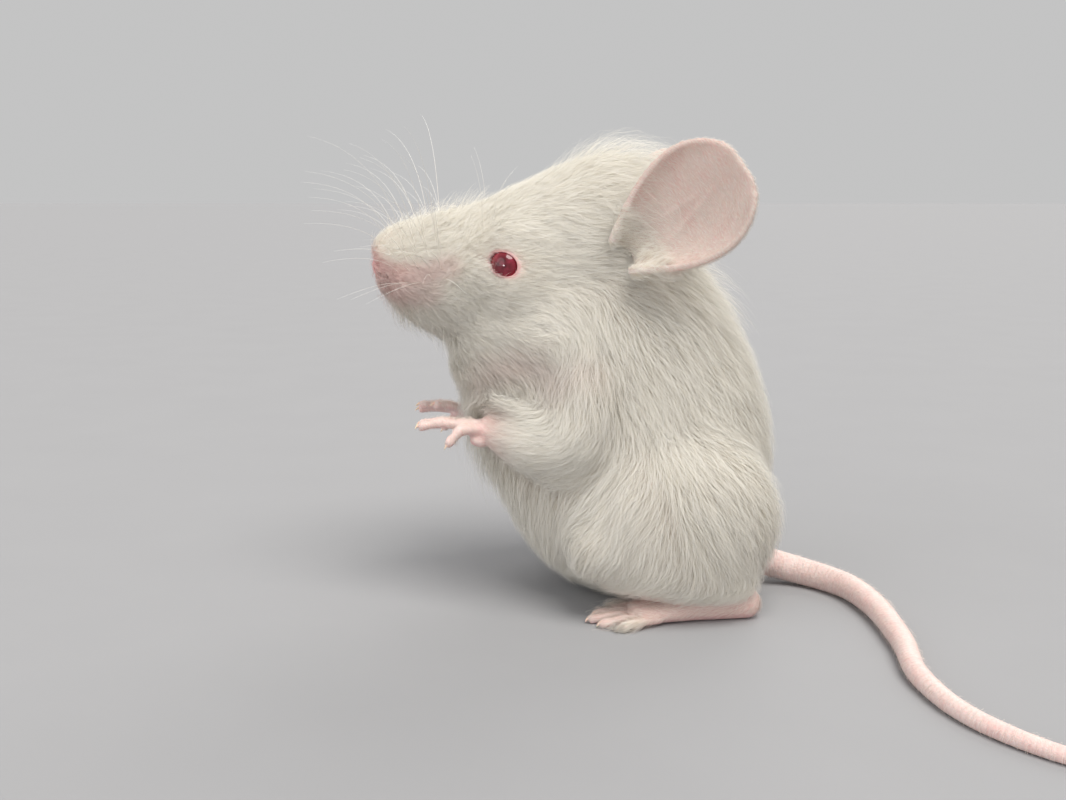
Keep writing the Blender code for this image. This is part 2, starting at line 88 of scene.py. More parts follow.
EYE_CENTRE = (-6.0, 6.25, 39.2)  # of the right eye
EYE_RADIUS = 2.05
EYE_OPENING = (1.60, 1.20)  # half of the long and of the short way across
EYE_GAZE, EYE_LONG_AXIS = (-0.30, 0.94, 0.16), (0.90, 0.0, -0.42)
LID_HEIGHT, SOCKET_DEPTH = 0.12, 0.45  # of the lids over the ball, and of the skin under its surface
SWELL_HEIGHT, SWELL_WIDTH = 0.78, 3.3  # of the form round the eye
WHISKER_PAD = ((-16.0, 3.0, 36.8), (3.8, 2.3, 3.2))  # middle and radii
CHEEK = ((0.5, 5.6, 34.8), (7.2, 4.2, 5.6))
THIGH = ((13.2, 11.0, 11.0), (12.4, 7.2, 10.6), -14.0)  # middle, radii and tilt in degrees
SHOULDER = ((2.2, 8.0, 27.0), (6.6, 4.8, 7.6), 0.0)
# Limbs: places on the middle line, and the radius there.
SHANK = [(4.2, 12.4, 8.6, 4.4), (11.0, 12.8, 5.6, 3.4), (19.0, 12.0, 3.0, 2.3)]
UPPER_ARM = [(3.6, 9.0, 27.0, 4.6), (2.6, 10.2, 22.8, 4.4), (0.6, 10.4, 19.4, 3.9)]
FOREARMS = {
    "left": [(0.6, 10.4, 19.4, 3.9), (-4.4, 8.8, 19.5, 2.9), (-8.5, 6.8, 20.4, 1.6)],
    "right": [(0.6, 10.4, 19.4, 3.9), (-4.8, 8.6, 19.6, 2.9), (-9.8, 6.2, 19.5, 1.6)],
}
EAR_ROOT = (7.9, 7.4, 40.4)
EAR_LENGTH, EAR_HALF_WIDTH, EAR_CUP, EAR_WALL = 16.3, 6.2, 3.2, 0.55
EAR_BLUNT = 0.62  # where up its length the ear is widest
EAR_LENGTH_AXIS = (0.66, 0.46, 0.60)  # from the root to the tip
EAR_FRONT = (-0.42, 0.88, 0.10)  # out of the cup
# Which way each forepaw and its back face.
PAW_POINTS = {"left": (-0.97, -0.06, 0.23), "right": (-0.94, -0.06, 0.34)}
PAW_BACK = {"left": (0.15, -0.10, 0.95), "right": (0.30, 0.40, 0.90)}
PALM_LENGTH = 3.1
# Ahead of the wrist's middle, half width and half height.
PALM_ROWS = [(-1.6, 1.35, 1.25), (0.8, 1.42, 1.1), (2.1, 1.9, 0.95), (3.1, 1.8, 0.75)]
PALM_PADS = [  # along, outwards and below the wrist's middle, and radius
    (2.9, -0.95, 0.70, 0.55),
    (3.2, 0.0, 0.70, 0.52),
    (2.9, 0.95, 0.70, 0.55),
    (0.8, -0.75, 1.05, 0.72),
    (0.6, 0.55, 1.25, 0.95),
]
FORE_DIGITS = [  # side step, how far back it starts, spread and droop in degrees, length
    (-1.35, 0.7, -14.0, 18.0, 3.7),
    (-0.46, 0.1, -5.0, 20.0, 4.7),
    (0.46, 0.1, 6.0, 23.0, 4.6),
    (1.3, 1.6, 32.0, 60.0, 3.6),
]
FORE_DIGIT_RADIUS = 0.66
HEEL, TOE_ROOT = (20.8, 11.8, 1.7), (8.6, 13.4, 1.0)
FOOT_RADII = [(1.7, 1.9), (1.75, 1.45), (2.35, 1.05)]  # half width and half height from heel to toes
FOOT_REACH = 7.5  # from the toes' roots, claws and all
ANKLE = [((-1.0, 0.0, 0.6), 1.75), ((-3.4, 0.6, 3.0), 2.1)]  # from the heel's middle, and radius
# Side step, spread in degrees and length.
HIND_TOES = [(-1.95, -17.0, 3.6), (-1.0, -7.0, 5.0), (0.0, 0.0, 5.4), (1.0, 7.0, 5.0), (1.95, 17.0, 3.7)]
HIND_TOE_RADIUS = 0.58
CLAW_LENGTH, CLAW_RADIUS = 0.85, 0.22
TAIL_ROUTE = [  # x and y on the floor
    (22.0, 0.0),
    (29.0, -0.6),
    (33.6, -5.0),
    (35.4, -12.0),
    (35.4, -22.0),
    (34.4, -31.0),
    (36.4, -40.0),
    (42.6, -47.5),
    (51.0, -50.5),
    (60.0, -48.0),
]
TAIL_ROOT_RADIUS, TAIL_TIP_RADIUS, TAIL_ROOT_RISE = 1.85, 0.48, 2.4
TAIL_RING = 0.55  # from one ring of scales to the next
ENVELOPE_GRID, SKIN_GRID = 0.45, 0.2  # how finely the forms are fused

low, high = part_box("eye_left")
EYE_LEFT = np.array([EYE_CENTRE[0], -EYE_CENTRE[1], EYE_CENTRE[2]])
OFFSET = np.array((low + high) / 2) / MM - EYE_LEFT  # from body to world, in millimetres


# --- Small helpers -----------------------------------------------------------------------
def vec(values, side):
    """A place or direction of the right side, or its mirror on the left."""
    return np.array([values[0], values[1] * side, values[2]], float)


def unit(v):
    v = np.asarray(v, float)
    return v / np.maximum(np.linalg.norm(v, axis=-1, keepdims=True), 1e-9)


def square_to(axis, way):
    """way, turned square to the axis, as a unit direction."""
    return unit(way - axis * (way @ axis))


def fanned(along, outer, degrees):
    """along, turned towards outer."""
    return unit(along * math.cos(math.radians(degrees)) + outer * math.sin(math.radians(degrees)))


def circle(count):
    """Evenly spaced angles once round."""
    return 2 * np.pi * np.arange(count) / count


def ease(value, low, high):
    """0 below low, 1 above high, smooth between."""
    t = np.clip((np.asarray(value, float) - low) / (high - low), 0.0, 1.0)
    return t * t * (3 - 2 * t)


def bell(gap, width):
    """1 at a gap of 0, and nearly nothing at twice the width."""
    return np.exp(-((gap / width) ** 2))


def blend(a, b, share):
    """a where the share is 0, b where it is 1."""
    return a * (1 - share) + b * share


def smooth_rows(rows, steps):
    """A Catmull-Rom curve through rows of numbers."""
    rows = [np.array(row, float) for row in rows]
    padded = [rows[0], *rows, rows[-1]]
    found = []
    for i in range(len(rows) - 1):
        a, b, c, d = padded[i : i + 4]
        for t in np.arange(steps) / steps:
            square = (2 * a - 5 * b + 4 * c - d) * t * t
            cube = (3 * b - a - 3 * c + d) * t**3
            found.append(0.5 * (2 * b + (c - a) * t + square + cube))
    return found + [rows[-1]]


def added(name, data):
    """A new object in the scene for a mesh, light or camera."""
    obj = bpy.data.objects.new(name, data)
    bpy.context.scene.collection.objects.link(obj)
    return obj


def evaluated(obj):
    """The object's mesh with its modifiers applied; the object itself is dropped."""
    graph = bpy.context.evaluated_depsgraph_get()
    graph.update()
    mesh = bpy.data.meshes.new_from_object(obj.evaluated_get(graph), depsgraph=graph)
    bpy.data.objects.remove(obj, do_unlink=True)
    return mesh


def modify(obj, kind, **settings):
    """One more modifier on the object."""
    made = obj.modifiers.new(kind, kind)
    for key, value in settings.items():
        setattr(made, key, value)
    return made


def read(mesh, what="co"):
    """The mesh's points, or their normals, as rows of three."""
    values = np.empty(len(mesh.vertices) * 3, np.float32)
    mesh.vertices.foreach_get(what, values)
    return values.reshape(-1, 3).astype(float)


def write(mesh, points):
    mesh.vertices.foreach_set("co", np.asarray(points, np.float32).ravel())
    mesh.update()


def distance_to_line(points, line):
    """Distance to a polyline, and the share of its length at the nearest place."""
    line = np.asarray(line, float)
    steps = np.linalg.norm(np.diff(line, axis=0), axis=1)
    starts = np.concatenate([[0.0], np.cumsum(steps)])
    best = np.full(len(points), 1e9)
    share = np.zeros(len(points))
    for a, b, step, start in zip(line, line[1:], steps, starts):
        t = np.clip(((points - a) @ (b - a)) / (step * step), 0.0, 1.0)
        gap = np.linalg.norm(points - a - t[:, None] * (b - a), axis=1)
        closer = gap < best
        best[closer] = gap[closer]
        share[closer] = (start + t[closer] * step) / starts[-1]
    return best, share


def gap_from_side(p, line):
    """distance_to_line for a line of x and z, as seen from the side."""
    return distance_to_line(p[:, [0, 2]], line)


# --- Forms -------------------------------------------------------------------------------
def limb_gap(p, rows, side):
    """How far the points lie outside a limb, and their share of its length."""
    gap, share = distance_to_line(p, [vec(row[:3], side) for row in rows])
    steps = [np.linalg.norm(np.subtract(b[:3], a[:3])) for a, b in zip(rows, rows[1:])]
    at = np.concatenate([[0.0], np.cumsum(steps)]) / sum(steps)
    return gap - np.interp(share, at, [row[3] for row in rows]), share


def wrist_of(name):
    return vec(FOREARMS[name][-1][:3], SIDES[name])


class Shell:
    """Closed forms gathered into one list of points and faces, in body millimetres."""

    def __init__(self):
        self.points, self.faces, self.count = [], [], 0

    def add(self, points, faces):
        self.points.append(np.asarray(points, float))
        self.faces += [[k + self.count for k in face] for face in faces]
        self.count += len(points)

    def loft(self, rings):
        """A skin over rings of equal counts, closed at both ends."""
        k = len(rings[0])
        faces = [list(range(k))[::-1], [(len(rings) - 1) * k + j for j in range(k)]]
        for i in range(len(rings) - 1):
            for j in range(k):
                a, b = i * k + j, i * k + (j + 1) % k
                faces.append([a, b, b + k, a + k])
        self.add(np.concatenate(rings), faces)

    def tube(self, rows, hint, count=16):
        """rows are (centre, half width, half height); the ends are rounded."""
        rows = [(np.asarray(c, float), w, h) for c, w, h in rows]
        last = len(rows) - 1
        tangents = [unit(rows[min(i + 1, last)][0] - rows[max(i - 1, 0)][0]) for i in range(len(rows))]
        stack = []
        for end, sign in ((0, -1.0), (-1, 1.0)):
            centre, wide, high = rows[end]
            caps = []
            for angle in (25, 50, 75):
                out, left = math.sin(math.radians(angle)), math.cos(math.radians(angle))
                at = centre + tangents[end] * sign * min(wide, high) * out
                caps.append((at, wide * left, high * left, tangents[end]))
            stack.append(caps)
        whole = stack[0][::-1] + [(c, w, h, t) for (c, w, h), t in zip(rows, tangents)] + stack[1]
        rings = []
        for centre, wide, high, tangent in whole:
            up = unit(np.cross(tangent, hint))
            across = unit(np.cross(up, tangent))
            turn = circle(count)[:, None]
            rings.append(centre + across * wide * np.cos(turn) + up * high * np.sin(turn))
        self.loft(rings)

    def limb(self, rows, side):
        path = [(vec(row[:3], side), row[3], row[3]) for row in smooth_rows(rows, 3)]
        self.tube(path, (0.0, 1.0, 0.0))

    def ball(self, centre, radii, side, tilt=0.0):
        """A closed ball, tilted about the axis across the body."""
        angles = np.radians(np.linspace(-84, 84, 13))
        turn = circle(20)
        c, s = math.cos(math.radians(tilt)), math.sin(math.radians(tilt))
        rings = []
        for angle in angles:
            flat, rise = math.cos(angle), math.sin(angle)
            ring = np.stack([np.cos(turn) * flat, np.sin(turn) * flat, np.full(20, rise)], 1)
            x, y, z = (ring * np.array(radii)).T
            rings.append(np.stack([x * c + z * s, y, -x * s + z * c], 1) + vec(centre, side))
        self.loft(rings)

    def object(self, name):
        """A mesh object of the millimetre points, for the modifiers to work on."""
        mesh = bpy.data.meshes.new(name)
        mesh.from_pydata(np.concatenate(self.points).tolist(), [], self.faces)
        return added(name, mesh)


def body_envelope():
    """The furred body out to the tips of the coat, as one fused surface."""
    shell = Shell()
    rings = []
    turn = circle(32)
    for x, top, bottom, half_width, taper in smooth_rows(HEAD_ROWS, 3):
        y = half_width * np.cos(turn) * (1 - taper * np.sin(turn))
        z = (top + bottom) / 2 + (top - bottom) / 2 * np.sin(turn)
        rings.append(np.stack([np.full(32, x), y, z], 1))
    shell.loft(rings)
    trunk = [(np.array([x, 0.0, z]), width, depth) for x, z, depth, width in smooth_rows(TRUNK_ROWS, 3)]
    shell.tube(trunk, (0.0, 1.0, 0.0), 32)
    for name, side in SIDES.items():
        shell.ball(*WHISKER_PAD, side)
        shell.ball(*CHEEK, side)
        for centre, radii, tilt in (THIGH, SHOULDER):
            shell.ball(centre, radii, side, tilt)
        shell.limb(SHANK, side)
        shell.limb(UPPER_ARM + FOREARMS[name][1:], side)
    obj = shell.object("envelope")
    modify(obj, "REMESH", mode="VOXEL", voxel_size=ENVELOPE_GRID)
    modify(obj, "SMOOTH", factor=0.5, iterations=14)
    return evaluated(obj)


def coat_depth(p):
    """How far the skin lies under the tips of the coat."""
    x, _, z = p.T
    head = 0.30 + 0.45 * ease(x, -21.0, -15.0) + 0.55 * ease(x, -14.0, -4.0) + 1.0 * ease(x, -3.0, 8.0)
    body = 2.2 - 0.9 * ease(12.0 - z, 0.0, 11.0)
    on_head = ease(z - HEAD_SLOPE * x, 27.5, 31.0)
    depth = blend(body, head, on_head)
    for name, side in SIDES.items():
        close = 1 - ease(np.linalg.norm(p - vec(EYE_CENTRE, side), axis=1), 2.6, 7.0)
        depth = blend(depth, 0.40, close)
        out, share = limb_gap(p, UPPER_ARM[1:] + FOREARMS[name][1:], side)
        around = (1 - ease(out, 2.0, 5.0)) * ease(share, 0.3, 0.8) * ease(out, 0.2, 1.6)
        depth = depth + 0.30 * around
        near = (1 - ease(out, 0.0, 1.3)) * ease(share, 0.0, 0.25)
        depth = blend(depth, 1.5 - 1.25 * ease(share, 0.1, 0.95), near)
        out, share = limb_gap(p, SHANK, side)
        near = (1 - ease(out, 0.0, 1.6)) * ease(share, 0.15, 0.6)
        depth = blend(depth, 1.3 - 1.0 * ease(share, 0.3, 0.95), near)
    return depth


def shrunken_body():
    """The envelope, sunk by the coat's depth in a few small steps, as points and faces."""
    mesh = body_envelope()
    steps = 3
    for _ in range(steps):
        points = read(mesh)
        write(mesh, points - read(mesh, "normal") * (coat_depth(points) / steps)[:, None])
    faces = [list(face.vertices) for face in mesh.polygons]
    return read(mesh), faces


def digit_line(root, along, down, length, droop):
    """Root, knuckle and tip of a bent digit, and which way its two halves point."""
    middle = unit(along + down * math.tan(math.radians(droop * 0.3)))
    end = unit(along + down * math.tan(math.radians(droop)))
    knuckle = root + middle * length * 0.5
    return [root, knuckle, knuckle + end * length * 0.5], middle, end


def digit(shell, claws, root, along, down, length, radius, droop):
    """A bent digit with its pad; the claw at its tip goes on the list of claws."""
    (root, knuckle, tip), middle, end = digit_line(root, along, down, length, droop)
    across = unit(np.cross(along, down))
    rows = [
        (root - along * length * 0.25, radius, radius),
        (root + middle * length * 0.2, radius * 0.9, radius * 0.9),
        (knuckle, radius * 1.04, radius * 1.04),
        (knuckle + end * length * 0.26, radius * 0.84, radius * 0.84),
        (tip - end * radius * 0.3, radius * 0.92, radius * 0.9),
    ]
    shell.tube(rows, across, 14)
    pad = tip + down * radius * 0.42 - end * radius * 0.35
    ends = [(pad - end * 0.12, radius * 0.68, radius * 0.6), (pad + end * 0.12, radius * 0.66, radius * 0.6)]
    shell.tube(ends, across, 12)
    claws.append((tip + end * radius * 0.30 - down * radius * 0.32, end, down))


def paw_axes(name):
    """Which way a forepaw points, its outer side and its back."""
    side = SIDES[name]
    along = unit(vec(PAW_POINTS[name], side))
    back = square_to(along, vec(PAW_BACK[name], side))
    return along, unit(np.cross(back, along)) * -side, back


def fore_digits(name):
    """Root, direction, length and droop of each digit of a forepaw."""
    along, outer, _ = paw_axes(name)
    knuckles = wrist_of(name) + along * PALM_LENGTH
    for step, behind, spread, droop, reach in FORE_DIGITS:
        yield knuckles + outer * step - along * behind, fanned(along, outer, spread), reach, droop


def fore_paw(shell, claws, name):
    """Palm, four digits, the stub of the thumb and the pads."""
    along, outer, back = paw_axes(name)
    wrist = wrist_of(name)
    shell.tube([(wrist + along * ahead, wide, high) for ahead, wide, high in PALM_ROWS], outer, 18)
    for root, turned, reach, droop in fore_digits(name):
        digit(shell, claws, root, turned, -back, reach, FORE_DIGIT_RADIUS, droop)
    thumb = wrist - outer * 0.93 + along * 0.9 - back * 0.4
    point = unit(along * 0.5 - outer * 0.7 - back * 0.5)
    shell.tube([(thumb, 0.48, 0.48), (thumb + point * 0.9, 0.4, 0.4)], back, 10)
    for ahead, aside, below, size in PALM_PADS:
        at = wrist + along * ahead + outer * aside - back * below
        step = along * size * 0.35
        shell.tube([(at - step, size * 0.9, size * 0.75), (at + step, size, size * 0.75)], outer, 12)


def hind_foot(shell, claws, name):
    """Sole, heel and five toes, flat on the floor."""
    side = SIDES[name]
    heel, toes = vec(HEEL, side), vec(TOE_ROOT, side)
    along = toes - heel
    along[2] = 0.0
    along = unit(along)
    outer = square_to(along, np.array([0.0, side, 0.0]))
    down = np.array([0.0, 0.0, -1.0])
    points = [heel, (heel + toes) / 2, toes]
    shell.tube([(p, w, h) for p, (w, h) in zip(points, FOOT_RADII)], outer, 18)
    shell.tube([(heel + vec(at, side), radius, radius) for at, radius in ANKLE], outer, 16)
    for step, spread, reach in HIND_TOES:
        root = toes + outer * step - along * 0.55 * abs(step)
        root[2] = HIND_TOE_RADIUS + 0.22
        digit(shell, claws, root, fanned(along, outer, spread), down, reach, HIND_TOE_RADIUS, 5.0)


def ear_axes(name):
    """The ear's root and its directions: up its length, out of its cup, and across."""
    side = SIDES[name]
    up = unit(vec(EAR_LENGTH_AXIS, side))
    front = square_to(up, vec(EAR_FRONT, side))
    return vec(EAR_ROOT, side), up, front, unit(np.cross(up, front))


def ear_point(axes, share, t):
    """A place on the middle of the ear's leaf, and how it is folded there."""
    root, up, front, across = axes
    if share > EAR_BLUNT:
        half = math.sqrt(max(0.0, 1 - ((share - EAR_BLUNT) / (1.02 - EAR_BLUNT)) ** 2))
    else:
        half = 0.30 + 0.70 * math.sin(math.pi / 2 * share / EAR_BLUNT)
    curl = EAR_CUP * (1 - share**2) * abs(t) ** 1.8 - 0.9 * math.sin(math.pi * share)
    curl += 0.14 * math.sin(9.0 * t + 5.0 * share) * math.sin(math.pi * share)
    point = root + up * EAR_LENGTH * share + front * curl
    return point + across * EAR_HALF_WIDTH * half * math.sin(t * math.pi / 2)


def ear(shell, name):
    """The cupped leaf as a closed shell with a soft rim."""
    axes = ear_axes(name)
    rows, columns = 26, 22
    count = columns + 1
    total = (rows + 1) * count

    def place(i, j):
        return ear_point(axes, i / rows, 2 * j / columns - 1)

    middle = np.array([[place(i, j) for j in range(count)] for i in range(rows + 1)])
    along = np.gradient(middle, axis=0)
    across = np.gradient(middle, axis=1)
    normal = unit(np.cross(along, across))
    half = EAR_WALL / 2 * (1.5 - 0.5 * np.linspace(0, 1, rows + 1))[:, None, None]
    front, back = middle + normal * half, middle - normal * half
    faces = []
    for i in range(rows):
        for j in range(columns):
            a = i * count + j
            b = a + total
            faces.append([a, a + 1, a + count + 1, a + count])
            faces.append([b + count, b + count + 1, b + 1, b])
    edge = list(range(count))
    edge += [i * count + columns for i in range(1, rows + 1)]
    edge += [rows * count + j for j in range(columns - 1, -1, -1)]
    edge += [i * count for i in range(rows - 1, 0, -1)]
    for a, b in zip(edge, edge[1:] + edge[:1]):
        faces.append([b, a, a + total, b + total])
    shell.add(np.concatenate([front.reshape(-1, 3), back.reshape(-1, 3)]), faces)


def tail_rows():
    """The tail's middle line on the floor, its radius and the length reached at each place."""
    flat = smooth_rows(TAIL_ROUTE, 10)
    reached = np.concatenate([[0.0], np.cumsum([np.linalg.norm(b - a) for a, b in zip(flat, flat[1:])])])
    share = reached / reached[-1]
    radius = TAIL_ROOT_RADIUS + (TAIL_TIP_RADIUS - TAIL_ROOT_RADIUS) * share**0.85
    rise = TAIL_ROOT_RISE * np.maximum(0.0, 1 - share / 0.14) ** 2
    line = np.column_stack([np.array(flat), radius * 0.93 + rise])
    return line, radius, reached


def fine_skin():
    """The body under its coat, with ears, paws, feet and tail, fused into one surface."""
    shell = Shell()
    shell.add(*shrunken_body())
    claws = []
    for name in SIDES:
        fore_paw(shell, claws, name)
        hind_foot(shell, claws, name)
        ear(shell, name)
    line, radius, _ = tail_rows()
    shell.tube([(p, r, r) for p, r in zip(line, radius)], (0.0, 0.0, 1.0), 18)
    obj = shell.object("fine")
    modify(obj, "REMESH", mode="VOXEL", voxel_size=SKIN_GRID)
    modify(obj, "SMOOTH", factor=0.5, iterations=3)
    return evaluated(obj), claws


# --- Masks over the skin -----------------------------------------------------------------
NOSE_TIP = np.array([-22.0, 0.0, 39.4])
NOSE_PAD = np.array([(-21.8, 0.0, 38.8), (1.5, 1.75, 1.35)])  # the bare part: middle and radii
NOSTRIL = [(-21.7, 38.75), (-21.3, 38.2), (-20.8, 37.85), (-20.1, 37.8)]  # x, z
LIP_GROOVE = [(-22.6, 0.0, 39.2), (-22.0, 0.0, 37.6), (-21.0, 0.0, 36.0)]
NECK_FOLD = [(-9.5, 28.6), (-7.0, 28.9), (-4.0, 28.5), (-0.5, 28.6), (3.0, 30.0)]
TEAR_LINE = [(-8.1, 39.9), (-10.0, 40.4), (-12.0, 40.6)]
LIPS = [  # pink lines of the muzzle, as x and z, and how pink they start
    ([(-21.6, 38.9), (-19.6, 38.0), (-16.6, 38.1), (-13.4, 38.7)], 0.70),
    ([(-20.6, 37.0), (-18.4, 36.2), (-15.4, 36.2)], 0.56),
]
FLUSH_SHARES = {
    "nose": 0.60,
    "rim": 0.72,
    "eye": 0.9,
    "ear": 0.08,
    "palm": 0.36,
    "paw": 0.24,
    "sole": 0.55,
    "foot": 0.28,
    "tail": 0.24,
}
MOUTH = [(-20.8, 36.1), (-19.6, 35.0), (-18.2, 34.4), (-16.6, 34.2)]
NOSTRIL_RIM, NOSTRIL_DEPTH = 0.16, 0.40
GROOVE_DEPTH, GROOVE_WIDTH = 0.36, 0.22
FOLDS = [  # line, how far beside it, depth (a rise below 0), width, how it fades along, how much shade is painted in it
    (MOUTH, 0.0, 0.34, 0.28, 0.7, 0.0),
    (MOUTH, 0.7, -0.05, 0.35, 1.0, 0.0),
    (TEAR_LINE, 0.0, 0.14, 0.20, 0.8, 0.35),
    (NECK_FOLD, 0.0, 0.75, 0.90, 0.6, 0.0),
]
EAR_RIDGES = [  # height, place across the leaf, its change up the leaf, where it rises and where it falls
    (0.10, 0.35, -0.5, (0.15, 0.30), (0.6, 0.9)),
    (0.08, -0.30, 0.3, (0.10, 0.25), (0.5, 0.8)),
]


def eye_axes(side):
    """Gaze, long axis of the opening (down and back) and short axis (up)."""
    gaze = unit(vec(EYE_GAZE, side))
    long_axis = square_to(gaze, vec(EYE_LONG_AXIS, side))
    up = unit(np.cross(gaze, long_axis))
    return gaze, long_axis, up * np.sign(up[2])


def eye_reach(p, side):
    """How far out from the middle of the opening (1 on the lids' edge), and the place in the eye's axes."""
    gaze, long_axis, up = eye_axes(side)
    q = p - vec(EYE_CENTRE, side)
    u, v, w = q @ long_axis, q @ up, q @ gaze
    corner = 1.0 + 0.10 * ease(-u, 0.8, 1.7)
    rho = np.sqrt((u / (EYE_OPENING[0] * corner)) ** 2 + (v / EYE_OPENING[1]) ** 2)
    return rho, u, v, w


def near_ear(p):
    """1 on the leaf of either ear, falling to 0 at its root."""
    found = np.zeros(len(p))
    for name in SIDES:
        axes = ear_axes(name)
        leaf = np.array([ear_point(axes, i / 20, j / 8 - 1) for i in range(21) for j in range(17)])
        share = ((p - axes[0]) @ axes[1]) / EAR_LENGTH
        beside = np.abs((p - axes[0]) @ axes[3]) < EAR_HALF_WIDTH + 1.5
        close = np.nonzero((share > -0.05) & (share < 1.15) & beside)[0]
        for chunk in np.array_split(close, max(1, len(close) // 4000)):
            gap = np.linalg.norm(p[chunk, None] - leaf[None], axis=2).min(1)
            this = (1 - ease(gap, 0.75, 1.5)) * ease(share[chunk], 0.10, 0.24)
            found[chunk] = np.maximum(found[chunk], this)
    return found


def skin_masks(p, n):
    """Where the skin is bare, and which part each place belongs to."""
    masks = {"ear": near_ear(p)}
    paw, palm, foot, sole, eye, rim = np.zeros((6, len(p)))
    for name, side in SIDES.items():
        along, _, back = paw_axes(name)
        wrist = wrist_of(name)
        gap, _ = distance_to_line(p, [wrist - along, wrist + along * PALM_LENGTH])
        this = 1 - ease(gap, 2.1, 2.7)
        for root, turned, reach, droop in fore_digits(name):
            gap, _ = distance_to_line(p, digit_line(root, turned, -back, reach, droop)[0])
            this = np.maximum(this, 1 - ease(gap, 1.3, 1.9))
        this = this * ease((p - wrist) @ along, -1.4, 1.0)
        paw = np.maximum(paw, this)
        palm = np.maximum(palm, this * ease(-(n @ back), 0.0, 0.5))
        heel, toes = vec(HEEL, side), vec(TOE_ROOT, side)
        beyond = toes + unit(toes - heel) * FOOT_REACH
        beyond[2] = 0.7
        gap, _ = distance_to_line(p, [heel, toes, beyond])
        this = 1 - ease(gap, 2.3, 3.3)
        foot = np.maximum(foot, this)
        sole = np.maximum(sole, this * ease(-n[:, 2], 0.1, 0.6))
        rho, _, _, w = eye_reach(p, side)
        front = w > 0
        eye = np.maximum(eye, (1 - ease(rho, 1.04, 1.14)) * front)
        rim = np.maximum(rim, (1 - ease(rho, 1.12, 1.42)) * front)
    line, radius, _ = tail_rows()
    gap, share = distance_to_line(p, line)
    wide = np.interp(share, np.linspace(0, 1, len(radius)), radius)
    tail = (1 - ease(gap - wide, 0.15, 0.6)) * ease(p[:, 0], 21.5, 24.5)
    nose = 1 - ease(np.linalg.norm((p - NOSE_PAD[0]) / NOSE_PAD[1], axis=1), 0.85, 1.25)
    masks.update(paw=paw, palm=palm, foot=foot, sole=sole, eye=eye, rim=rim, tail=tail, nose=nose)
    return masks


def flush_of(p, masks):
    """How pink the skin is at each point: 0.5 is pink, 1 is red."""
    muzzle = np.zeros(len(p))
    for lips, most in LIPS:
        gap, share = gap_from_side(p, lips)
        muzzle = np.maximum(muzzle, most * (1 - ease(gap, 0.4, 1.9)) * (1 - 0.55 * share))
    bulb = 1 - ease(np.linalg.norm((p - NOSE_PAD[0]) / (NOSE_PAD[1] * 1.9), axis=1), 0.5, 1.2)
    muzzle = np.maximum(muzzle, 0.68 * bulb) * (1 - 0.7 * ease(p[:, 2], 40.0, 41.5))
    # the neck fold is painted pink and darker: partly the skin showing in it, partly painted shade of the
    # fold; the coat's blush carries it too
    gap, share = gap_from_side(p, NECK_FOLD)
    fold_pink_and_shade = (1 - ease(gap, 0.4, 1.8)) * (1 - 0.5 * share)
    wrist = np.zeros(len(p))
    for name, side in SIDES.items():
        out, share = limb_gap(p, FOREARMS[name], side)
        wrist = np.maximum(wrist, (1 - ease(out, 0.0, 1.4)) * ease(share, 0.25, 0.95))
    return np.maximum.reduce(
        [muzzle, 0.26 * fold_pink_and_shade, 0.32 * wrist] + [share * masks[key] for key, share in FLUSH_SHARES.items()]
    )


# --- The skin ----------------------------------------------------------------------------
SKIN_KEPT = 0.26  # share of the fused skin's triangles that is kept
KEPT_SHARES = {"ear": 0.9, "paw": 1.0, "foot": 0.9, "tail": 0.8}  # 1 where the skin is kept finest
HEAD_KEPT = 0.75
EYE_REGION, NOSE_REGION = 3.6, ((-20.6, 0.0, 38.2), 3.4)  # radii, and a middle, of what is refined


def refine(mesh, places, levels):
    """Cuts the edges near the given places, so that small folds have points to show them."""
    bm = bmesh.new()
    bm.from_mesh(mesh)
    for level in range(levels):
        shrink = 1.0 - 0.25 * level
        chosen = set()
        for centre, radius in places:
            centre = Vector(centre)
            reach = (radius * shrink) ** 2
            for v in bm.verts:
                if (v.co - centre).length_squared < reach:
                    chosen.add(v)
        edges = [e for e in bm.edges if e.verts[0] in chosen and e.verts[1] in chosen]
        bmesh.ops.subdivide_edges(bm, edges=edges, cuts=1)
        bmesh.ops.triangulate(bm, faces=[f for f in bm.faces if len(f.verts) > 3])
    bm.normal_update()
    bm.to_mesh(mesh)
    bm.free()


def shape_eyes(p):
    """Lids round an opening that is sunk into the eyeball, with a fold over them."""
    for side in SIDES.values():
        gaze, _, _ = eye_axes(side)
        rho, u, v, w = eye_reach(p, side)
        flat = np.hypot(u, v)
        over = np.sqrt(np.maximum((EYE_RADIUS + LID_HEIGHT) ** 2 - flat**2, 0.04))
        under = np.sqrt(np.maximum(EYE_RADIUS**2 - flat**2, 0.04)) - SOCKET_DEPTH
        rim = 0.05 * bell(rho - 1.10, 0.07)
        fold = -0.06 * bell(rho - 1.45, 0.12) * ease(v, -0.6, 0.8)
        swell = w + SWELL_HEIGHT * bell(flat, SWELL_WIDTH)
        lid = np.maximum(over, swell) + rim + fold
        share = 1 - ease(rho, 1.15, 1.90)
        wanted = np.where(rho < 1.0, under, under + (lid - under) * ease(rho, 1.0, 1.08))
        wanted = blend(swell, wanted, share)
        near = (np.abs(w) < 6) & (flat < 9.0) & (w > -0.8)
        p[near] += gaze * (wanted - w)[near, None]
    return p


def on_side(tree, places, side):
    """Where lines across the body, at these x and z, first meet the surface."""
    found = []
    for x, z in places:
        hit = tree.ray_cast(Vector((x, 30.0 * side, z)), Vector((0.0, -side, 0.0)))[0]
        if hit is not None:
            found.append(np.array(hit))
    return found


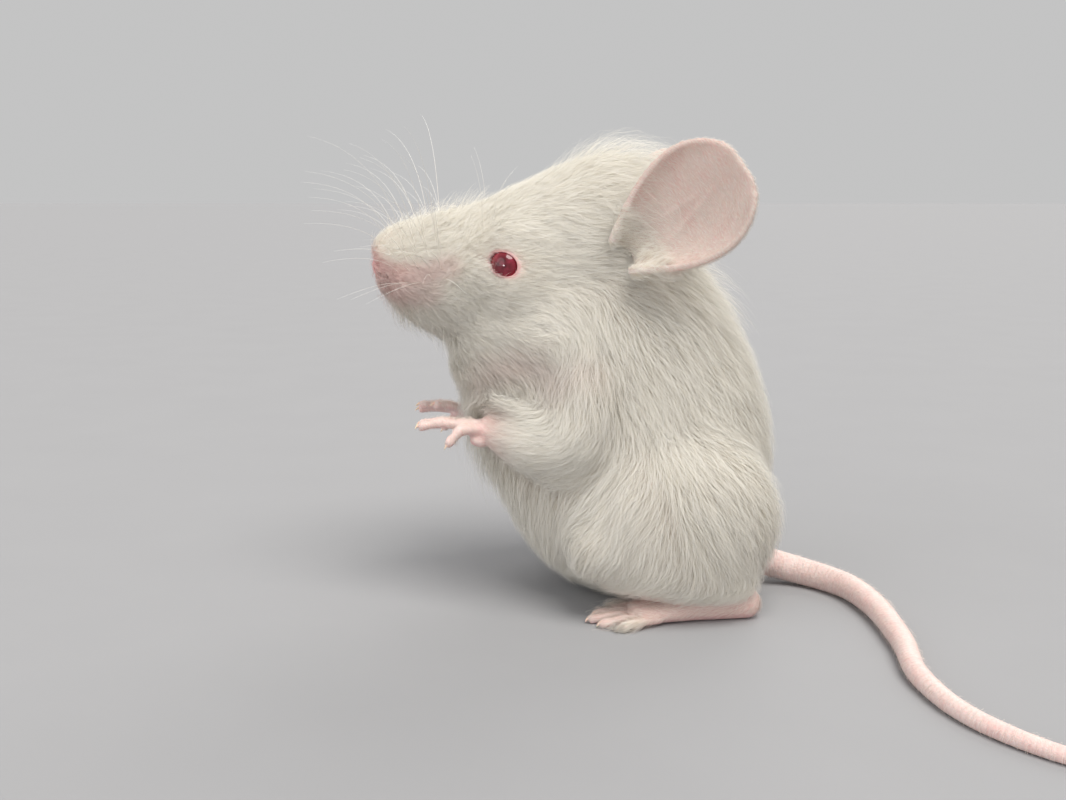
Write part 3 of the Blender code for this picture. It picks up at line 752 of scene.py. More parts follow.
def shape_face(p, n, tree):
    """Nostrils, the face's folds and the groove between the lips; also the shade painted at each point,
    darker in the nostrils and the folds.
    """
    # painted shade: the nostrils' pits, the tear line's fold and the groove between the lips are darkened in
    # the skin's colour
    change, painted_shade = np.zeros((2, len(p)))
    for side in SIDES.values():
        gap, share = distance_to_line(p, on_side(tree, NOSTRIL, side))
        pit = bell(gap, 0.13 + 0.10 * share)
        change += NOSTRIL_RIM * bell(gap - 0.46, 0.22) - NOSTRIL_DEPTH * pit
        painted_shade = np.maximum(painted_shade, pit)
        for line, beside, deep, wide, fade, painted_shade_share in FOLDS:
            gap, share = distance_to_line(p, on_side(tree, line, side))
            fold = bell(gap - beside, wide)
            change -= deep * fold * (1 - fade * share)
            painted_shade = np.maximum(painted_shade, painted_shade_share * fold)
    gap, _ = distance_to_line(p, LIP_GROOVE)
    change -= GROOVE_DEPTH * bell(gap, GROOVE_WIDTH)
    painted_shade = np.maximum(painted_shade, 0.35 * bell(gap, 0.16))
    return p + n * change[:, None], painted_shade


def shape_limbs(p, n, masks):
    """Fine rings round the digits."""
    depth = np.zeros(len(p))
    for name in SIDES:
        q = (p - wrist_of(name)) @ paw_axes(name)[0]
        depth += 0.035 * (0.5 + 0.5 * np.cos(q * 2 * np.pi / 0.42)) * ease(q, 3.0, 3.6) * masks["paw"]
    rings = 0.5 + 0.5 * np.cos(p[:, 0] * 2 * np.pi / 0.5)
    depth += 0.03 * rings * masks["foot"] * ease(7.5 - p[:, 0], 0, 1)
    return p - n * depth[:, None]


def ear_folds(p, n, masks):
    """Two low ridges up the leaf of each ear."""
    for name in SIDES:
        root, up, _, across = ear_axes(name)
        q = p - root
        share, t = (q @ up) / EAR_LENGTH, (q @ across) / EAR_HALF_WIDTH
        ridges = np.zeros(len(p))
        for high, place, lean, rise, fall in EAR_RIDGES:
            ridge = high * bell(t - place - lean * share, 0.06)
            ridges += ridge * ease(share, *rise) * (1 - ease(share, *fall))
        p = p + n * (ridges * masks["ear"])[:, None]
    return p


def make_skin():
    """The fused skin, thinned out where it is plain, with its folds; also the claws' places."""
    fine, claws = fine_skin()
    points = read(fine)
    obj = added("skin", fine)
    x, _, z = points.T
    head = ease(-x, -2.0, 3.0) * ease(z, 31.0, 33.0)
    masks = skin_masks(points, read(fine, "normal"))
    keep = np.maximum.reduce([HEAD_KEPT * head] + [share * masks[key] for key, share in KEPT_SHARES.items()])
    group = obj.vertex_groups.new(name="keep")
    level = np.round((1 - keep) * 10).astype(int)
    for value in range(11):
        group.add(np.nonzero(level == value)[0].tolist(), value / 10, "REPLACE")
    modify(obj, "DECIMATE", ratio=SKIN_KEPT, vertex_group="keep", vertex_group_factor=6.0)
    mesh = evaluated(obj)
    places = [(vec(EYE_CENTRE, side) + eye_axes(side)[0] * 1.6, EYE_REGION) for side in SIDES.values()]
    refine(mesh, [*places, NOSE_REGION], 2)
    p = shape_eyes(read(mesh))
    write(mesh, p)
    n = read(mesh, "normal")
    faces = [list(face.vertices) for face in mesh.polygons]
    p, painted_shade = shape_face(p, n, BVHTree.FromPolygons(p.tolist(), faces))
    # the painted shade of the pits and folds, for the skin's colour
    point_attribute(mesh, "pit", painted_shade)
    masks = skin_masks(p, n)
    p = shape_limbs(p, n, masks)
    p = ear_folds(p, n, masks)
    p[:, 2] = np.maximum(p[:, 2], 0.05)
    write(mesh, p)
    return mesh, claws


# --- Pieces ------------------------------------------------------------------------------
FLESH = [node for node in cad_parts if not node.startswith("eye")]


def point_attribute(mesh, name, values):
    found = mesh.attributes.new(name, "FLOAT", "POINT")
    found.data.foreach_set("value", np.asarray(values, np.float32))


def piece(name, mesh, material):
    """A finished piece from a mesh in body millimetres."""
    write(mesh, (read(mesh) + OFFSET) * MM)
    mesh.shade_smooth()
    mesh.materials.clear()
    mesh.materials.append(material)
    obj = added(name, mesh)
    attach(obj, "root")
    return obj


class Nodes:
    """A material, and short ways to add nodes to it."""

    def __init__(self, name):
        self.material = bpy.data.materials.new(name)
        self.material.use_nodes = True
        self.tree = self.material.node_tree
        self.shader = self.tree.nodes["Principled BSDF"]
        self.output = self.tree.nodes["Material Output"]

    def add(self, kind, inputs=None, **settings):
        node = self.tree.nodes.new(kind)
        for key, value in settings.items():
            setattr(node, key, value)
        for key, value in (inputs or {}).items():
            self.put(node.inputs[key], value)
        return node

    def put(self, socket, value):
        if isinstance(value, bpy.types.NodeSocket):
            self.tree.links.new(value, socket)
        else:
            socket.default_value = value

    def attribute(self, name):
        return self.add("ShaderNodeAttribute", attribute_name=name).outputs["Fac"]

    def math(self, operation, a, b):
        return self.add("ShaderNodeMath", {0: a, 1: b}, operation=operation).outputs[0]

    def mix(self, share, a, b):
        """Colour a where the share is 0, colour b where it is 1."""
        node = self.add("ShaderNodeMix", data_type="RGBA")
        for socket, value in ((node.inputs[0], share), (node.inputs[6], a), (node.inputs[7], b)):
            self.put(socket, value)
        return node.outputs[2]

    def noise(self, scale, detail, roughness, place):
        inputs = {"Scale": scale, "Detail": detail, "Roughness": roughness, "Vector": place}
        return self.add("ShaderNodeTexNoise", inputs).outputs[0]

    def place(self):
        return self.add("ShaderNodeTexCoord").outputs["Object"]

    def range(self, value, low, high, to_low=0.0, to_high=1.0):
        """The value, led smoothly from one range to the other."""
        inputs = {0: value, 1: low, 2: high, 3: to_low, 4: to_high}
        return self.add("ShaderNodeMapRange", inputs, interpolation_type="SMOOTHSTEP").outputs[0]

    def bump(self, height, strength, distance):
        inputs = {"Height": height, "Strength": strength, "Distance": distance}
        return self.add("ShaderNodeBump", inputs).outputs[0]

    def set(self, **values):
        for key, value in values.items():
            self.put(self.shader.inputs[key.replace("_", " ")], value)

    def let_through(self, colour, share):
        """Lets a share of the light through, as thin skin and hair do."""
        through = self.add("ShaderNodeBsdfTranslucent", {"Color": colour})
        both = self.add("ShaderNodeMixShader", {0: share, 1: self.shader.outputs[0], 2: through.outputs[0]})
        self.tree.links.new(both.outputs[0], self.output.inputs["Surface"])


def rgb(r, g, b):
    """A display colour, 0 to 255, as the shader's linear one."""
    return (*(((c / 255 + 0.055) / 1.055) ** 2.4 if c > 10 else c / 255 / 12.92 for c in (r, g, b)), 1.0)


def skin_material():
    n = Nodes("skin")
    place = n.place()
    flush, ring, thin = n.attribute("flush"), n.attribute("ring"), n.attribute("thin")
    mottle = n.noise(420.0, 4.0, 0.6, place)
    fine = n.noise(2600.0, 3.0, 0.6, place)
    pale, pink, red = rgb(226, 215, 207), rgb(220, 184, 180), rgb(194, 106, 114)
    colour = n.mix(n.range(flush, 0.0, 0.5), pale, pink)
    colour = n.mix(n.range(flush, 0.5, 1.0), colour, red)
    colour = n.mix(n.range(mottle, 0.42, 0.72, 0.0, 0.30), colour, rgb(216, 164, 160))
    colour = n.mix(n.math("MULTIPLY", ring, 0.16), colour, rgb(170, 126, 122))
    # painted shade: darker red in the nostrils, the tear line's fold and the groove between the lips
    colour = n.mix(n.math("MULTIPLY", n.attribute("pit"), 0.85), colour, rgb(132, 30, 40))
    inputs = {"Scale": 3200.0, "Vector": place}
    cells = n.add("ShaderNodeTexVoronoi", inputs, feature="DISTANCE_TO_EDGE").outputs[0]
    height = n.math("ADD", n.math("MULTIPLY", fine, 0.5), n.math("MULTIPLY", n.range(cells, 0.0, 0.12), 0.35))
    height = n.math("SUBTRACT", height, n.math("MULTIPLY", ring, 0.9))
    normal = n.bump(height, 0.55, 0.00006)
    n.set(Base_Color=colour, Normal=normal)
    n.set(Roughness=n.range(fine, 0.3, 0.7, 0.42, 0.6))
    n.set(Subsurface_Weight=0.2, Subsurface_Radius=(1.0, 0.45, 0.34), Subsurface_Scale=0.0009)
    n.set(Specular_IOR_Level=0.42)
    n.let_through(rgb(240, 196, 186), n.math("MULTIPLY", thin, 0.30))
    return n.material


def coat_material():
    n = Nodes("coat")
    tone, run, blush = n.attribute("tone"), n.attribute("run"), n.attribute("blush")
    # painted shade: each hair is darker towards its root, for the shade deep in the coat
    root, tip = rgb(241, 236, 226), rgb(252, 250, 245)
    colour = n.mix(n.range(run, 0.0, 0.7), root, tip)
    colour = n.mix(n.range(tone, 0.0, 1.0, 0.0, 0.35), colour, rgb(240, 234, 219))
    colour = n.mix(n.math("MULTIPLY", blush, 0.70), colour, rgb(230, 178, 176))
    n.set(Base_Color=colour, Roughness=0.5, Specular_IOR_Level=0.35)
    n.set(Sheen_Weight=0.15, Sheen_Roughness=0.4)
    n.let_through(colour, 0.48)
    return n.material


def eye_material():
    n = Nodes("eye")
    place = n.place()
    out = n.attribute("out")
    streak = n.noise(900.0, 3.0, 0.6, place)
    colour = n.mix(n.range(out, 0.10, 0.45), rgb(64, 3, 14), rgb(118, 14, 34))
    colour = n.mix(n.range(out, 0.52, 0.75), colour, rgb(62, 4, 16))
    colour = n.mix(n.range(streak, 0.45, 0.7, 0.0, 0.5), colour, rgb(150, 40, 62))
    n.set(Base_Color=colour, Roughness=0.10, Coat_Weight=0.6, Coat_Roughness=0.01, Specular_IOR_Level=0.35)
    return n.material


def claw_material():
    n = Nodes("claw")
    grain = n.noise(3000.0, 2.0, 0.5, n.place())
    colour = n.mix(n.attribute("run"), rgb(226, 176, 160), rgb(240, 226, 204))
    colour = n.mix(n.range(grain, 0.4, 0.7, 0.0, 0.3), colour, rgb(206, 150, 136))
    n.set(Base_Color=colour, Roughness=0.3, Subsurface_Weight=0.2, Subsurface_Scale=0.0003)
    n.set(Normal=n.bump(grain, 0.3, 0.00002))
    return n.material


def whisker_material():
    n = Nodes("whisker")
    colour = n.mix(n.attribute("run"), rgb(214, 206, 196), rgb(250, 250, 246))
    fine = n.noise(900.0, 2.0, 0.5, n.place())
    colour = n.mix(n.range(fine, 0.4, 0.7, 0.0, 0.25), colour, rgb(232, 224, 208))
    n.set(Base_Color=colour, Roughness=0.3)
    return n.material


def tapered_tubes(paths, radii, sides=5):
    """Closed thin tubes along the paths, as one mesh, with how far along each point is."""
    points, faces, run, at = [], [], [], 0
    turn = circle(sides)[:, None]
    for path, radius in zip(paths, radii):
        path = np.asarray(path)
        tangent = unit(np.gradient(path, axis=0))
        side = unit(np.cross(tangent, np.array([0.31, 0.17, 0.94])))
        up = np.cross(side, tangent)
        count = len(path)
        for k in range(count):
            points.append(path[k] + radius[k] * (side[k] * np.cos(turn) + up[k] * np.sin(turn)))
            run += [k / (count - 1)] * sides
        for k in range(count - 1):
            for j in range(sides):
                a, b = at + k * sides + j, at + k * sides + (j + 1) % sides
                faces.append([a, b, b + sides, a + sides])
        faces.append([at + j for j in range(sides)][::-1])
        faces.append([at + (count - 1) * sides + j for j in range(sides)])
        at += count * sides
    mesh = bpy.data.meshes.new("tubes")
    mesh.from_pydata(np.concatenate(points).tolist(), [], faces)
    point_attribute(mesh, "run", run)
    return mesh


def make_eye(name, side):
    """The ball with its clear bulge in front."""
    bm = bmesh.new()
    bmesh.ops.create_uvsphere(bm, u_segments=48, v_segments=32, radius=EYE_RADIUS)
    mesh = bpy.data.meshes.new(name)
    bm.to_mesh(mesh)
    bm.free()
    gaze = eye_axes(side)[0]
    p = read(mesh)
    out = np.degrees(np.arccos(np.clip(unit(p) @ gaze, -1, 1))) / 90
    p *= (1 + 0.03 * np.exp(-((out / 0.45) ** 2)))[:, None]
    write(mesh, p + vec(EYE_CENTRE, side))
    point_attribute(mesh, "out", out)
    return mesh


def make_claws(claws):
    paths, radii = [], []
    for tip, end, down in claws:
        t = np.linspace(0, 1, 8)[:, None]
        path = tip - end * 0.35 + end * CLAW_LENGTH * np.sin(t * 1.35) + down * CLAW_LENGTH * 0.55 * t**2
        path[:, 2] = np.maximum(path[:, 2], CLAW_RADIUS * 0.5)
        paths.append(path)
        radii.append(CLAW_RADIUS * (1 - t[:, 0] ** 1.6) + 0.02)
    return tapered_tubes(paths, radii, 8)


WHISKER_ROWS = [  # z of the root, and how far the tip goes up, out and ahead
    (41.6, 12.0, 5.5, 14.0),
    (40.5, 9.5, 7.5, 14.0),
    (39.4, 7.0, 9.0, 13.0),
    (38.2, 3.0, 9.5, 12.0),
    (37.0, -1.5, 8.0, 9.0),
]


WHISKER_COLUMNS = 5
WHISKERS_END = -34.0  # the furthest ahead that a tip may lie
WHISKER_RADIUS = 0.018  # at the root of the foremost ones


def whisker_roots(tree, side):
    """Rows of roots on the pad, as row, column and place."""
    found = []
    for row, (z, *_) in enumerate(WHISKER_ROWS):
        for column in range(WHISKER_COLUMNS):
            place = (-19.3 + 1.25 * column + 0.25 * row, z + 0.10 * column)
            found += [(row, column, hit) for hit in on_side(tree, [place], side)]
    return found


def make_whiskers(tree):
    """Rows of whiskers from each pad, a few over the eye and short ones on the chin."""
    paths, radii = [], []

    def whisker(root, bend, tip, thick):
        t = np.linspace(0, 1, 16)[:, None]
        paths.append(root * (1 - t) ** 2 + 2 * (root + bend) * t * (1 - t) + (root + tip) * t**2)
        radii.append(thick * (1 - t[:, 0]) ** 0.7 + 0.005)

    for side in SIDES.values():
        for row, column, root in whisker_roots(tree, side):
            _, up, out, ahead = WHISKER_ROWS[row]
            size = (0.72 + 0.11 * column) * rng.uniform(0.85, 1.08)
            ahead = (ahead - 2.9 * column + rng.normal(0, 0.9)) * size
            out = (out + 0.8 * column) * size * side
            tip = np.array([-ahead, out, up * size + rng.normal(0, 0.7)])
            tip[0] = max(tip[0], WHISKERS_END - root[0])
            bend = tip * np.array([0.22, 0.5, 0.72]) + np.array([0.0, 0.0, 1.6])
            whisker(root, bend, tip, WHISKER_RADIUS + 0.002 * column)
        for k in range(2):  # over the eye
            for root in on_side(tree, [(-9.0 + 1.6 * k, 43.0 + 0.5 * k)], side):
                tip = np.array([-1.2 + 3.4 * k, 1.6 * side, 9.0 - 2.4 * k]) * rng.uniform(0.85, 1.1)
                whisker(root, tip * np.array([-0.3, 0.7, 0.6]), tip, 0.021)
        for k in range(5):  # on the chin
            for root in on_side(tree, [(-18.6 + 1.3 * k, 34.6 - 0.5 * k)], side):
                tip = np.array([0.6, 1.0 * side, -3.4 - 0.3 * k])
                whisker(root, tip * np.array([-0.8, 0.6, 0.5]), tip * rng.uniform(0.7, 1.1), 0.017)
    return tapered_tubes(paths, radii)


# --- The coat ----------------------------------------------------------------------------
SHORT_HAIR = {"ear": 0.75, "paw": 0.9, "foot": 1.0, "tail": 0.8}  # its length
BARE_SHARES = {"palm": 1.0, "sole": 1.0, "eye": 1.0, "rim": 0.9, "nose": 0.94}  # 1 has no hair
THINNED_BY = {"ear": 0.70, "tail": 0.95, "paw": 0.80, "foot": 0.55}  # shares of the hairs left out
# Hairs to a square millimetre where they are long, and how many more where they are short.
LONG_DENSITY, SHORT_MORE = 33.0, 97.0
HAIR_WIDTH, LONG_WIDER = 0.036, 0.022  # at the root, and how much more on a long hair
SHORT_UP_TO, LONG_FROM = 2.6, 3.8  # lengths of the short and of the long coat, mixed between


def flow(p):
    """The lie of the coat: which way the hair points, before it is laid on the skin."""
    lines = [  # a line through or near the body, the hair's way there (None: along it) and its weight
        ([(-20, 0, 43), (12, 0, 51)], (1.0, 0.0, 0.12), 1.0),
        ([(12, 0, 50), (16.5, 0, 40), (21, 0, 28), (25.5, 0, 14), (25, 0, 3)], None, 1.3),
        ([(-12, 0, 29), (-9.5, 0, 24), (-10.5, 0, 14), (-6, 0, 3)], None, 1.0),
        ([(-19, 0, 34), (-10, 0, 29)], (1.0, 0.0, -0.35), 1.0),
    ]
    for name, side in SIDES.items():
        out, _ = limb_gap(p, FOREARMS[name], side)
        beside = 1 - 0.985 * ease(out, -0.2, 0.9)
        lines += [
            ([vec((-19, 4, 38), side), vec((6, 9, 40), side)], (1.0, 0.15 * side, 0.0), 1.0),
            ([vec((-15, 4, 31), side), vec((2, 8, 32), side)], (1.0, 0.1 * side, -0.3), 1.0),
            ([vec((6, 12, 32), side), vec((12, 15, 20), side), vec((18, 14, 8), side)], None, 0.9),
            ([vec((3, 9, 33), side), vec((1.5, 11, 22), side)], None, 1.0),
            ([vec((10, 17, 18), side), vec((4, 16, 6), side)], None, 0.9),
            ([vec(row[:3], side) for row in FOREARMS[name]], None, 1.6 * beside),
            ([vec((18, 12, 3), side), vec((3, 13, 1), side)], None, 0.8),
        ]
    total = np.zeros_like(p)
    for line, way, weight in lines:
        line = np.asarray(line, float)
        gap, share = distance_to_line(p, line)
        if way is None:
            steps = unit(np.diff(line, axis=0))
            lengths = np.linalg.norm(np.diff(line, axis=0), axis=1)
            middles = (np.cumsum(lengths) - lengths / 2) / lengths.sum()
            ways = np.column_stack([np.interp(share, middles, steps[:, i]) for i in range(3)])
        else:
            ways = np.tile(unit(np.array(way)), (len(p), 1))
        total += ways * (weight / (gap**2 + 2.0) ** 1.5)[:, None]
    away = unit(p - (NOSE_TIP + np.array([-1.0, 0, 0.2])))
    near = 1 - ease(np.linalg.norm(p - NOSE_TIP, axis=1), 3.0, 13.0)
    total = unit(total) * (1 - near)[:, None] + away * near[:, None]
    return unit(total)


class Skin:
    """The skin's own numbers, for placing hair on it."""

    def __init__(self, mesh):
        self.points, self.normals = read(mesh), read(mesh, "normal")
        faces = np.empty(len(mesh.polygons) * 3, np.int32)
        mesh.polygons.foreach_get("vertices", faces)
        self.faces = faces.reshape(-1, 3)
        a, b, c = (self.points[self.faces[:, i]] for i in range(3))
        self.areas = np.linalg.norm(np.cross(b - a, c - a), axis=1) / 2
        self.masks = skin_masks(self.points, self.normals)
        self.flush = flush_of(self.points, self.masks)
        copy = mesh.copy()
        copy.shade_smooth()
        self.probe = added("probe target", copy)

    def scatter(self, density):
        """Random places, as faces and shares of their corners, for a density at each point."""
        wanted = density[self.faces].mean(1) * self.areas
        count = np.floor(wanted + rng.random(len(wanted))).astype(int)
        face = np.repeat(np.arange(len(count)), count)
        a, b = rng.random(len(face)), rng.random(len(face))
        over = a + b > 1
        a[over], b[over] = 1 - a[over], 1 - b[over]
        return face, np.column_stack([1 - a - b, a, b])

    def at(self, values, face, shares):
        """The values at places on the skin, from those at its points."""
        corners = values[self.faces[face]]
        if values.ndim == 1:
            return (corners * shares).sum(1)
        return (corners * shares[:, :, None]).sum(1)

    def nearest(self, points):
        """Nearest places on the skin and the normals there."""
        found = []
        for mode, offset in (("ON_SURFACE", 0.0), ("ABOVE_SURFACE", 0.5)):
            mesh = bpy.data.meshes.new("probes")
            mesh.vertices.add(len(points))
            write(mesh, points)
            obj = added("probes", mesh)
            modify(obj, "SHRINKWRAP", target=self.probe, wrap_mode=mode, offset=offset)
            done = evaluated(obj)
            found.append(read(done))
            bpy.data.meshes.remove(done)
            bpy.data.meshes.remove(mesh)
        return found[0], unit(found[1] - found[0])


def laid(way, normal):
    """way, turned into the plane of the skin."""
    flat = way - normal * (way * normal).sum(1)[:, None]
    return unit(flat)


def turned(way, normal, angle):
    """way, turned about the normal."""
    return way * np.cos(angle)[:, None] + np.cross(normal, way) * np.sin(angle)[:, None]


def combed(skin, root, normal, length, height, swing, steps):
    """Hair paths that follow the skin and rise over it; also the skin's normal under each."""
    way = turned(laid(flow(root), normal), normal, swing)
    paths, normals = [root], [normal]
    at = root
    for k in range(1, steps + 1):
        at, under = skin.nearest(at + way * (length / steps)[:, None])
        way = turned(laid(flow(at), under), under, swing)
        s = k / steps
        lift = height * (1 - (1 - s) ** 1.7)
        paths.append(at + under * lift[:, None])
        normals.append(under)
    return np.stack(paths, 1), np.stack(normals, 1)


def clumped(paths, root, centres, centre_paths, strength):
    """Draws each hair towards the middle hair of its tuft, more so at the tip."""
    tree = KDTree(len(centres))
    for i, point in enumerate(centres.tolist()):
        tree.insert(point, i)
    tree.balance()
    nearest = np.array([tree.find(point)[1] for point in root.tolist()])
    steps = paths.shape[1]
    s = (np.arange(steps) / (steps - 1)) ** 1.4
    pull = strength[:, None] * s[None, :]
    return paths * (1 - pull[:, :, None]) + centre_paths[nearest] * pull[:, :, None]


def ribbons(paths, normals, width, roll):
    """Flat tapering hairs: points, triangles, normals and how far along each point is."""
    count, steps = paths.shape[:2]
    paths = paths.copy()
    tangent = unit(np.gradient(paths, axis=1))
    side = unit(np.cross(tangent, normals))
    side = side * np.cos(roll)[:, None, None] + np.cross(tangent, side) * np.sin(roll)[:, None, None]
    s = np.arange(steps - 1) / (steps - 1)
    half = width[:, None] / 2 * (1 - 0.75 * s**1.3)[None, :]
    paths[:, :, 2] = np.maximum(paths[:, :, 2], 0.06)
    left = paths[:, :-1] - side[:, :-1] * half[:, :, None]
    right = paths[:, :-1] + side[:, :-1] * half[:, :, None]
    per = 2 * (steps - 1) + 1
    points = np.empty((count, per, 3))
    points[:, 0:-1:2], points[:, 1:-1:2], points[:, -1] = left, right, paths[:, -1]
    shade = np.empty((count, per, 3))
    shade[:, 0:-1:2], shade[:, 1:-1:2], shade[:, -1] = normals[:, :-1], normals[:, :-1], normals[:, -1]
    run = np.repeat(np.arange(steps) / (steps - 1), 2)[:-1]
    pattern = []
    for k in range(steps - 2):
        a = 2 * k
        pattern += [[a, a + 1, a + 3], [a, a + 3, a + 2]]
    pattern.append([per - 3, per - 2, per - 1])
    faces = np.array(pattern)[None] + (np.arange(count) * per)[:, None, None]
    return points, faces, shade, run


UNWRAP_KEPT = 0.06  # share of the skin's triangles in its map
HAIR_PATCH = 0.003  # how wide each hair's place is on the bake's map
COAT_LIMIT = 190000  # triangles in one piece


class Unwrap:
    """A flat map of the skin's own shape, for the hair's places on the bake's map."""

    def __init__(self, mesh):
        obj = added("unwrap", mesh.copy())
        modify(obj, "DECIMATE", ratio=UNWRAP_KEPT)
        coarse = evaluated(obj)
        flat = added("unwrap", coarse)
        bpy.context.view_layer.objects.active = flat
        for other in bpy.context.selected_objects:
            other.select_set(False)
        flat.select_set(True)
        bpy.ops.object.mode_set(mode="EDIT")
        bpy.ops.mesh.select_all(action="SELECT")
        bpy.ops.uv.smart_project(angle_limit=math.radians(60), island_margin=0.004)
        bpy.ops.object.mode_set(mode="OBJECT")
        coarse.calc_loop_triangles()
        count = len(coarse.loop_triangles)
        corners, loops = np.empty(count * 3, np.int32), np.empty(count * 3, np.int32)
        coarse.loop_triangles.foreach_get("vertices", corners)
        coarse.loop_triangles.foreach_get("loops", loops)
        uv = np.empty(len(coarse.loops) * 2, np.float32)
        coarse.uv_layers.active.data.foreach_get("uv", uv)
        self.corners = corners.reshape(-1, 3)
        self.uv = uv.reshape(-1, 2)[loops.reshape(-1, 3)]
        self.points = read(coarse)
        self.tree = BVHTree.FromPolygons(self.points.tolist(), self.corners.tolist())
        bpy.data.objects.remove(flat, do_unlink=True)

    def at(self, places):
        """The map's coordinates at places on the skin."""
        face = np.array([self.tree.find_nearest(p)[2] for p in places.tolist()])
        a, b, c = (self.points[self.corners[face][:, i]] for i in range(3))
        e, f, g = b - a, c - a, places - a
        ee, ef, ff = (e * e).sum(1), (e * f).sum(1), (f * f).sum(1)
        ge, gf = (g * e).sum(1), (g * f).sum(1)
        below = np.maximum(ee * ff - ef * ef, 1e-12)
        s = np.clip((ff * ge - ef * gf) / below, 0, 1)
        t = np.clip((ee * gf - ef * ge) / below, 0, 1 - s)
        u = self.uv[face]
        return u[:, 0] * (1 - s - t)[:, None] + u[:, 1] * s[:, None] + u[:, 2] * t[:, None]


def coat_mesh(name, points, faces, shade, run, uv, tone, blush):
    """One piece of coat, with its normals, its colours' attributes and its map."""
    count, per = points.shape[:2]
    mesh = bpy.data.meshes.new(name)
    mesh.vertices.add(count * per)
    triangles = faces.reshape(-1, 3)
    mesh.loops.add(len(triangles) * 3)
    mesh.polygons.add(len(triangles))
    mesh.loops.foreach_set("vertex_index", triangles.ravel().astype(np.int32))
    mesh.polygons.foreach_set("loop_start", (np.arange(len(triangles)) * 3).astype(np.int32))
    write(mesh, points.reshape(-1, 3))
    mesh.update(calc_edges=True)
    layer = mesh.uv_layers.new(name="OFBake")
    across = np.tile(np.array([-0.5, 0.5]), per)[:per]
    across[-1] = 0.0
    patch = np.stack([across, run - 0.5], 1) * HAIR_PATCH
    each = (uv[:, None] + patch[None]).reshape(-1, 2)[triangles.ravel()]
    layer.data.foreach_set("uv", each.astype(np.float32).ravel())
    point_attribute(mesh, "run", np.tile(run, count))
    point_attribute(mesh, "tone", np.repeat(tone, per))
    point_attribute(mesh, "blush", np.repeat(blush, per))
    mesh.shade_smooth()
    mesh.normals_split_custom_set_from_vertices(shade.reshape(-1, 3))
    return mesh


def coat_fields(skin):
    """Length, height, width and density of the hair at each point of the skin."""
    p, masks = skin.points, skin.masks
    x, _, z = p.T
    head = ease(z - HEAD_SLOPE * x, 27.0, 30.5) * (1 - masks["paw"])
    on_head = 1.15 + 0.95 * ease(x, -21.5, -15.0) + 1.1 * ease(x, -15.0, -4.0) + 2.4 * ease(x, -4.0, 8.0)
    distal, limbs, paws = np.zeros((3, len(p)))
    on_body = 5.6 - 1.4 * ease(10.0 - z, 0.0, 10.0) + 0.8 * ease(x, 8.0, 14.0) * ease(z, 24.0, 34.0)
    length = blend(on_body, on_head, head)
    for name, side in SIDES.items():
        rho = eye_reach(p, side)[0]
        front = (np.linalg.norm(p - vec(EYE_CENTRE, side), axis=1) < 8).astype(float)
        length *= 1 - front * 0.62 * (1 - ease(rho, 1.2, 3.2))
        out, share = limb_gap(p, FOREARMS[name], side)
        near = 1 - ease(out, 0.0, 1.6)
        length = blend(length, 3.8 - 2.4 * ease(share, 0.0, 0.9), near)
        gap, _ = distance_to_line(p, [wrist_of(name), wrist_of(name) + paw_axes(name)[0] * 8.0])
        paws = np.maximum(paws, 1 - ease(gap, 3.5, 5.5))
        distal = np.maximum(distal, near * ease(share, 0.45, 0.9))
        limbs = np.maximum(limbs, 1 - ease(out, 0.0, 2.5))
    for key, short_hair in SHORT_HAIR.items():
        length = blend(length, short_hair, masks[key])
    bare = np.maximum.reduce([share * masks[key] for key, share in BARE_SHARES.items()])
    density = LONG_DENSITY + SHORT_MORE * (1 - ease(length, 2.0, 5.0))
    for key, missing in THINNED_BY.items():
        density = density * (1 - missing * masks[key])
    density = density * (1 - bare) * ease(z, 0.2, 0.7)
    width = HAIR_WIDTH + LONG_WIDER * ease(length, 1.2, 4.5)
    for name in SIDES:
        root, along, _, _ = ear_axes(name)
        gap = np.linalg.norm(p - (root + along * 1.5), axis=1)
        length = np.minimum(length, 1.5 + 4.5 * ease(gap, 3.0, 7.0))
    stand = (0.30 + 0.20 * ease(-x, 8.0, 15.0) + 0.12 * ease(x, 0.0, 8.0)) * head
    height = np.maximum(np.minimum(coat_depth(p) * 0.95, length * 0.42), length * stand)
    chest = ease(-x, -1.0, 4.0) * ease(z, 13.0, 17.0) * ease(-z, -29.0, -26.0)
    breast = ease(-x, 4.0, 8.0) * ease(z, 17.0, 20.0) * ease(-z, -30.0, -27.0) * (1 - limbs) * (1 - paws)
    length = length + 1.2 * breast
    height = height + 1.5 * breast
    density = density * (1 - 0.6 * distal) * (1 - 0.2 * chest)
    pull = 0.32 + 0.10 * ease(-x, 2.0, 12.0) * head
    gap, _ = gap_from_side(p, TEAR_LINE)
    parted = 1 - 0.7 * bell(gap, 0.22)
    density = density * parted * parted
    return dict(length=length, density=density, width=width, height=height, pull=pull, breast=breast)


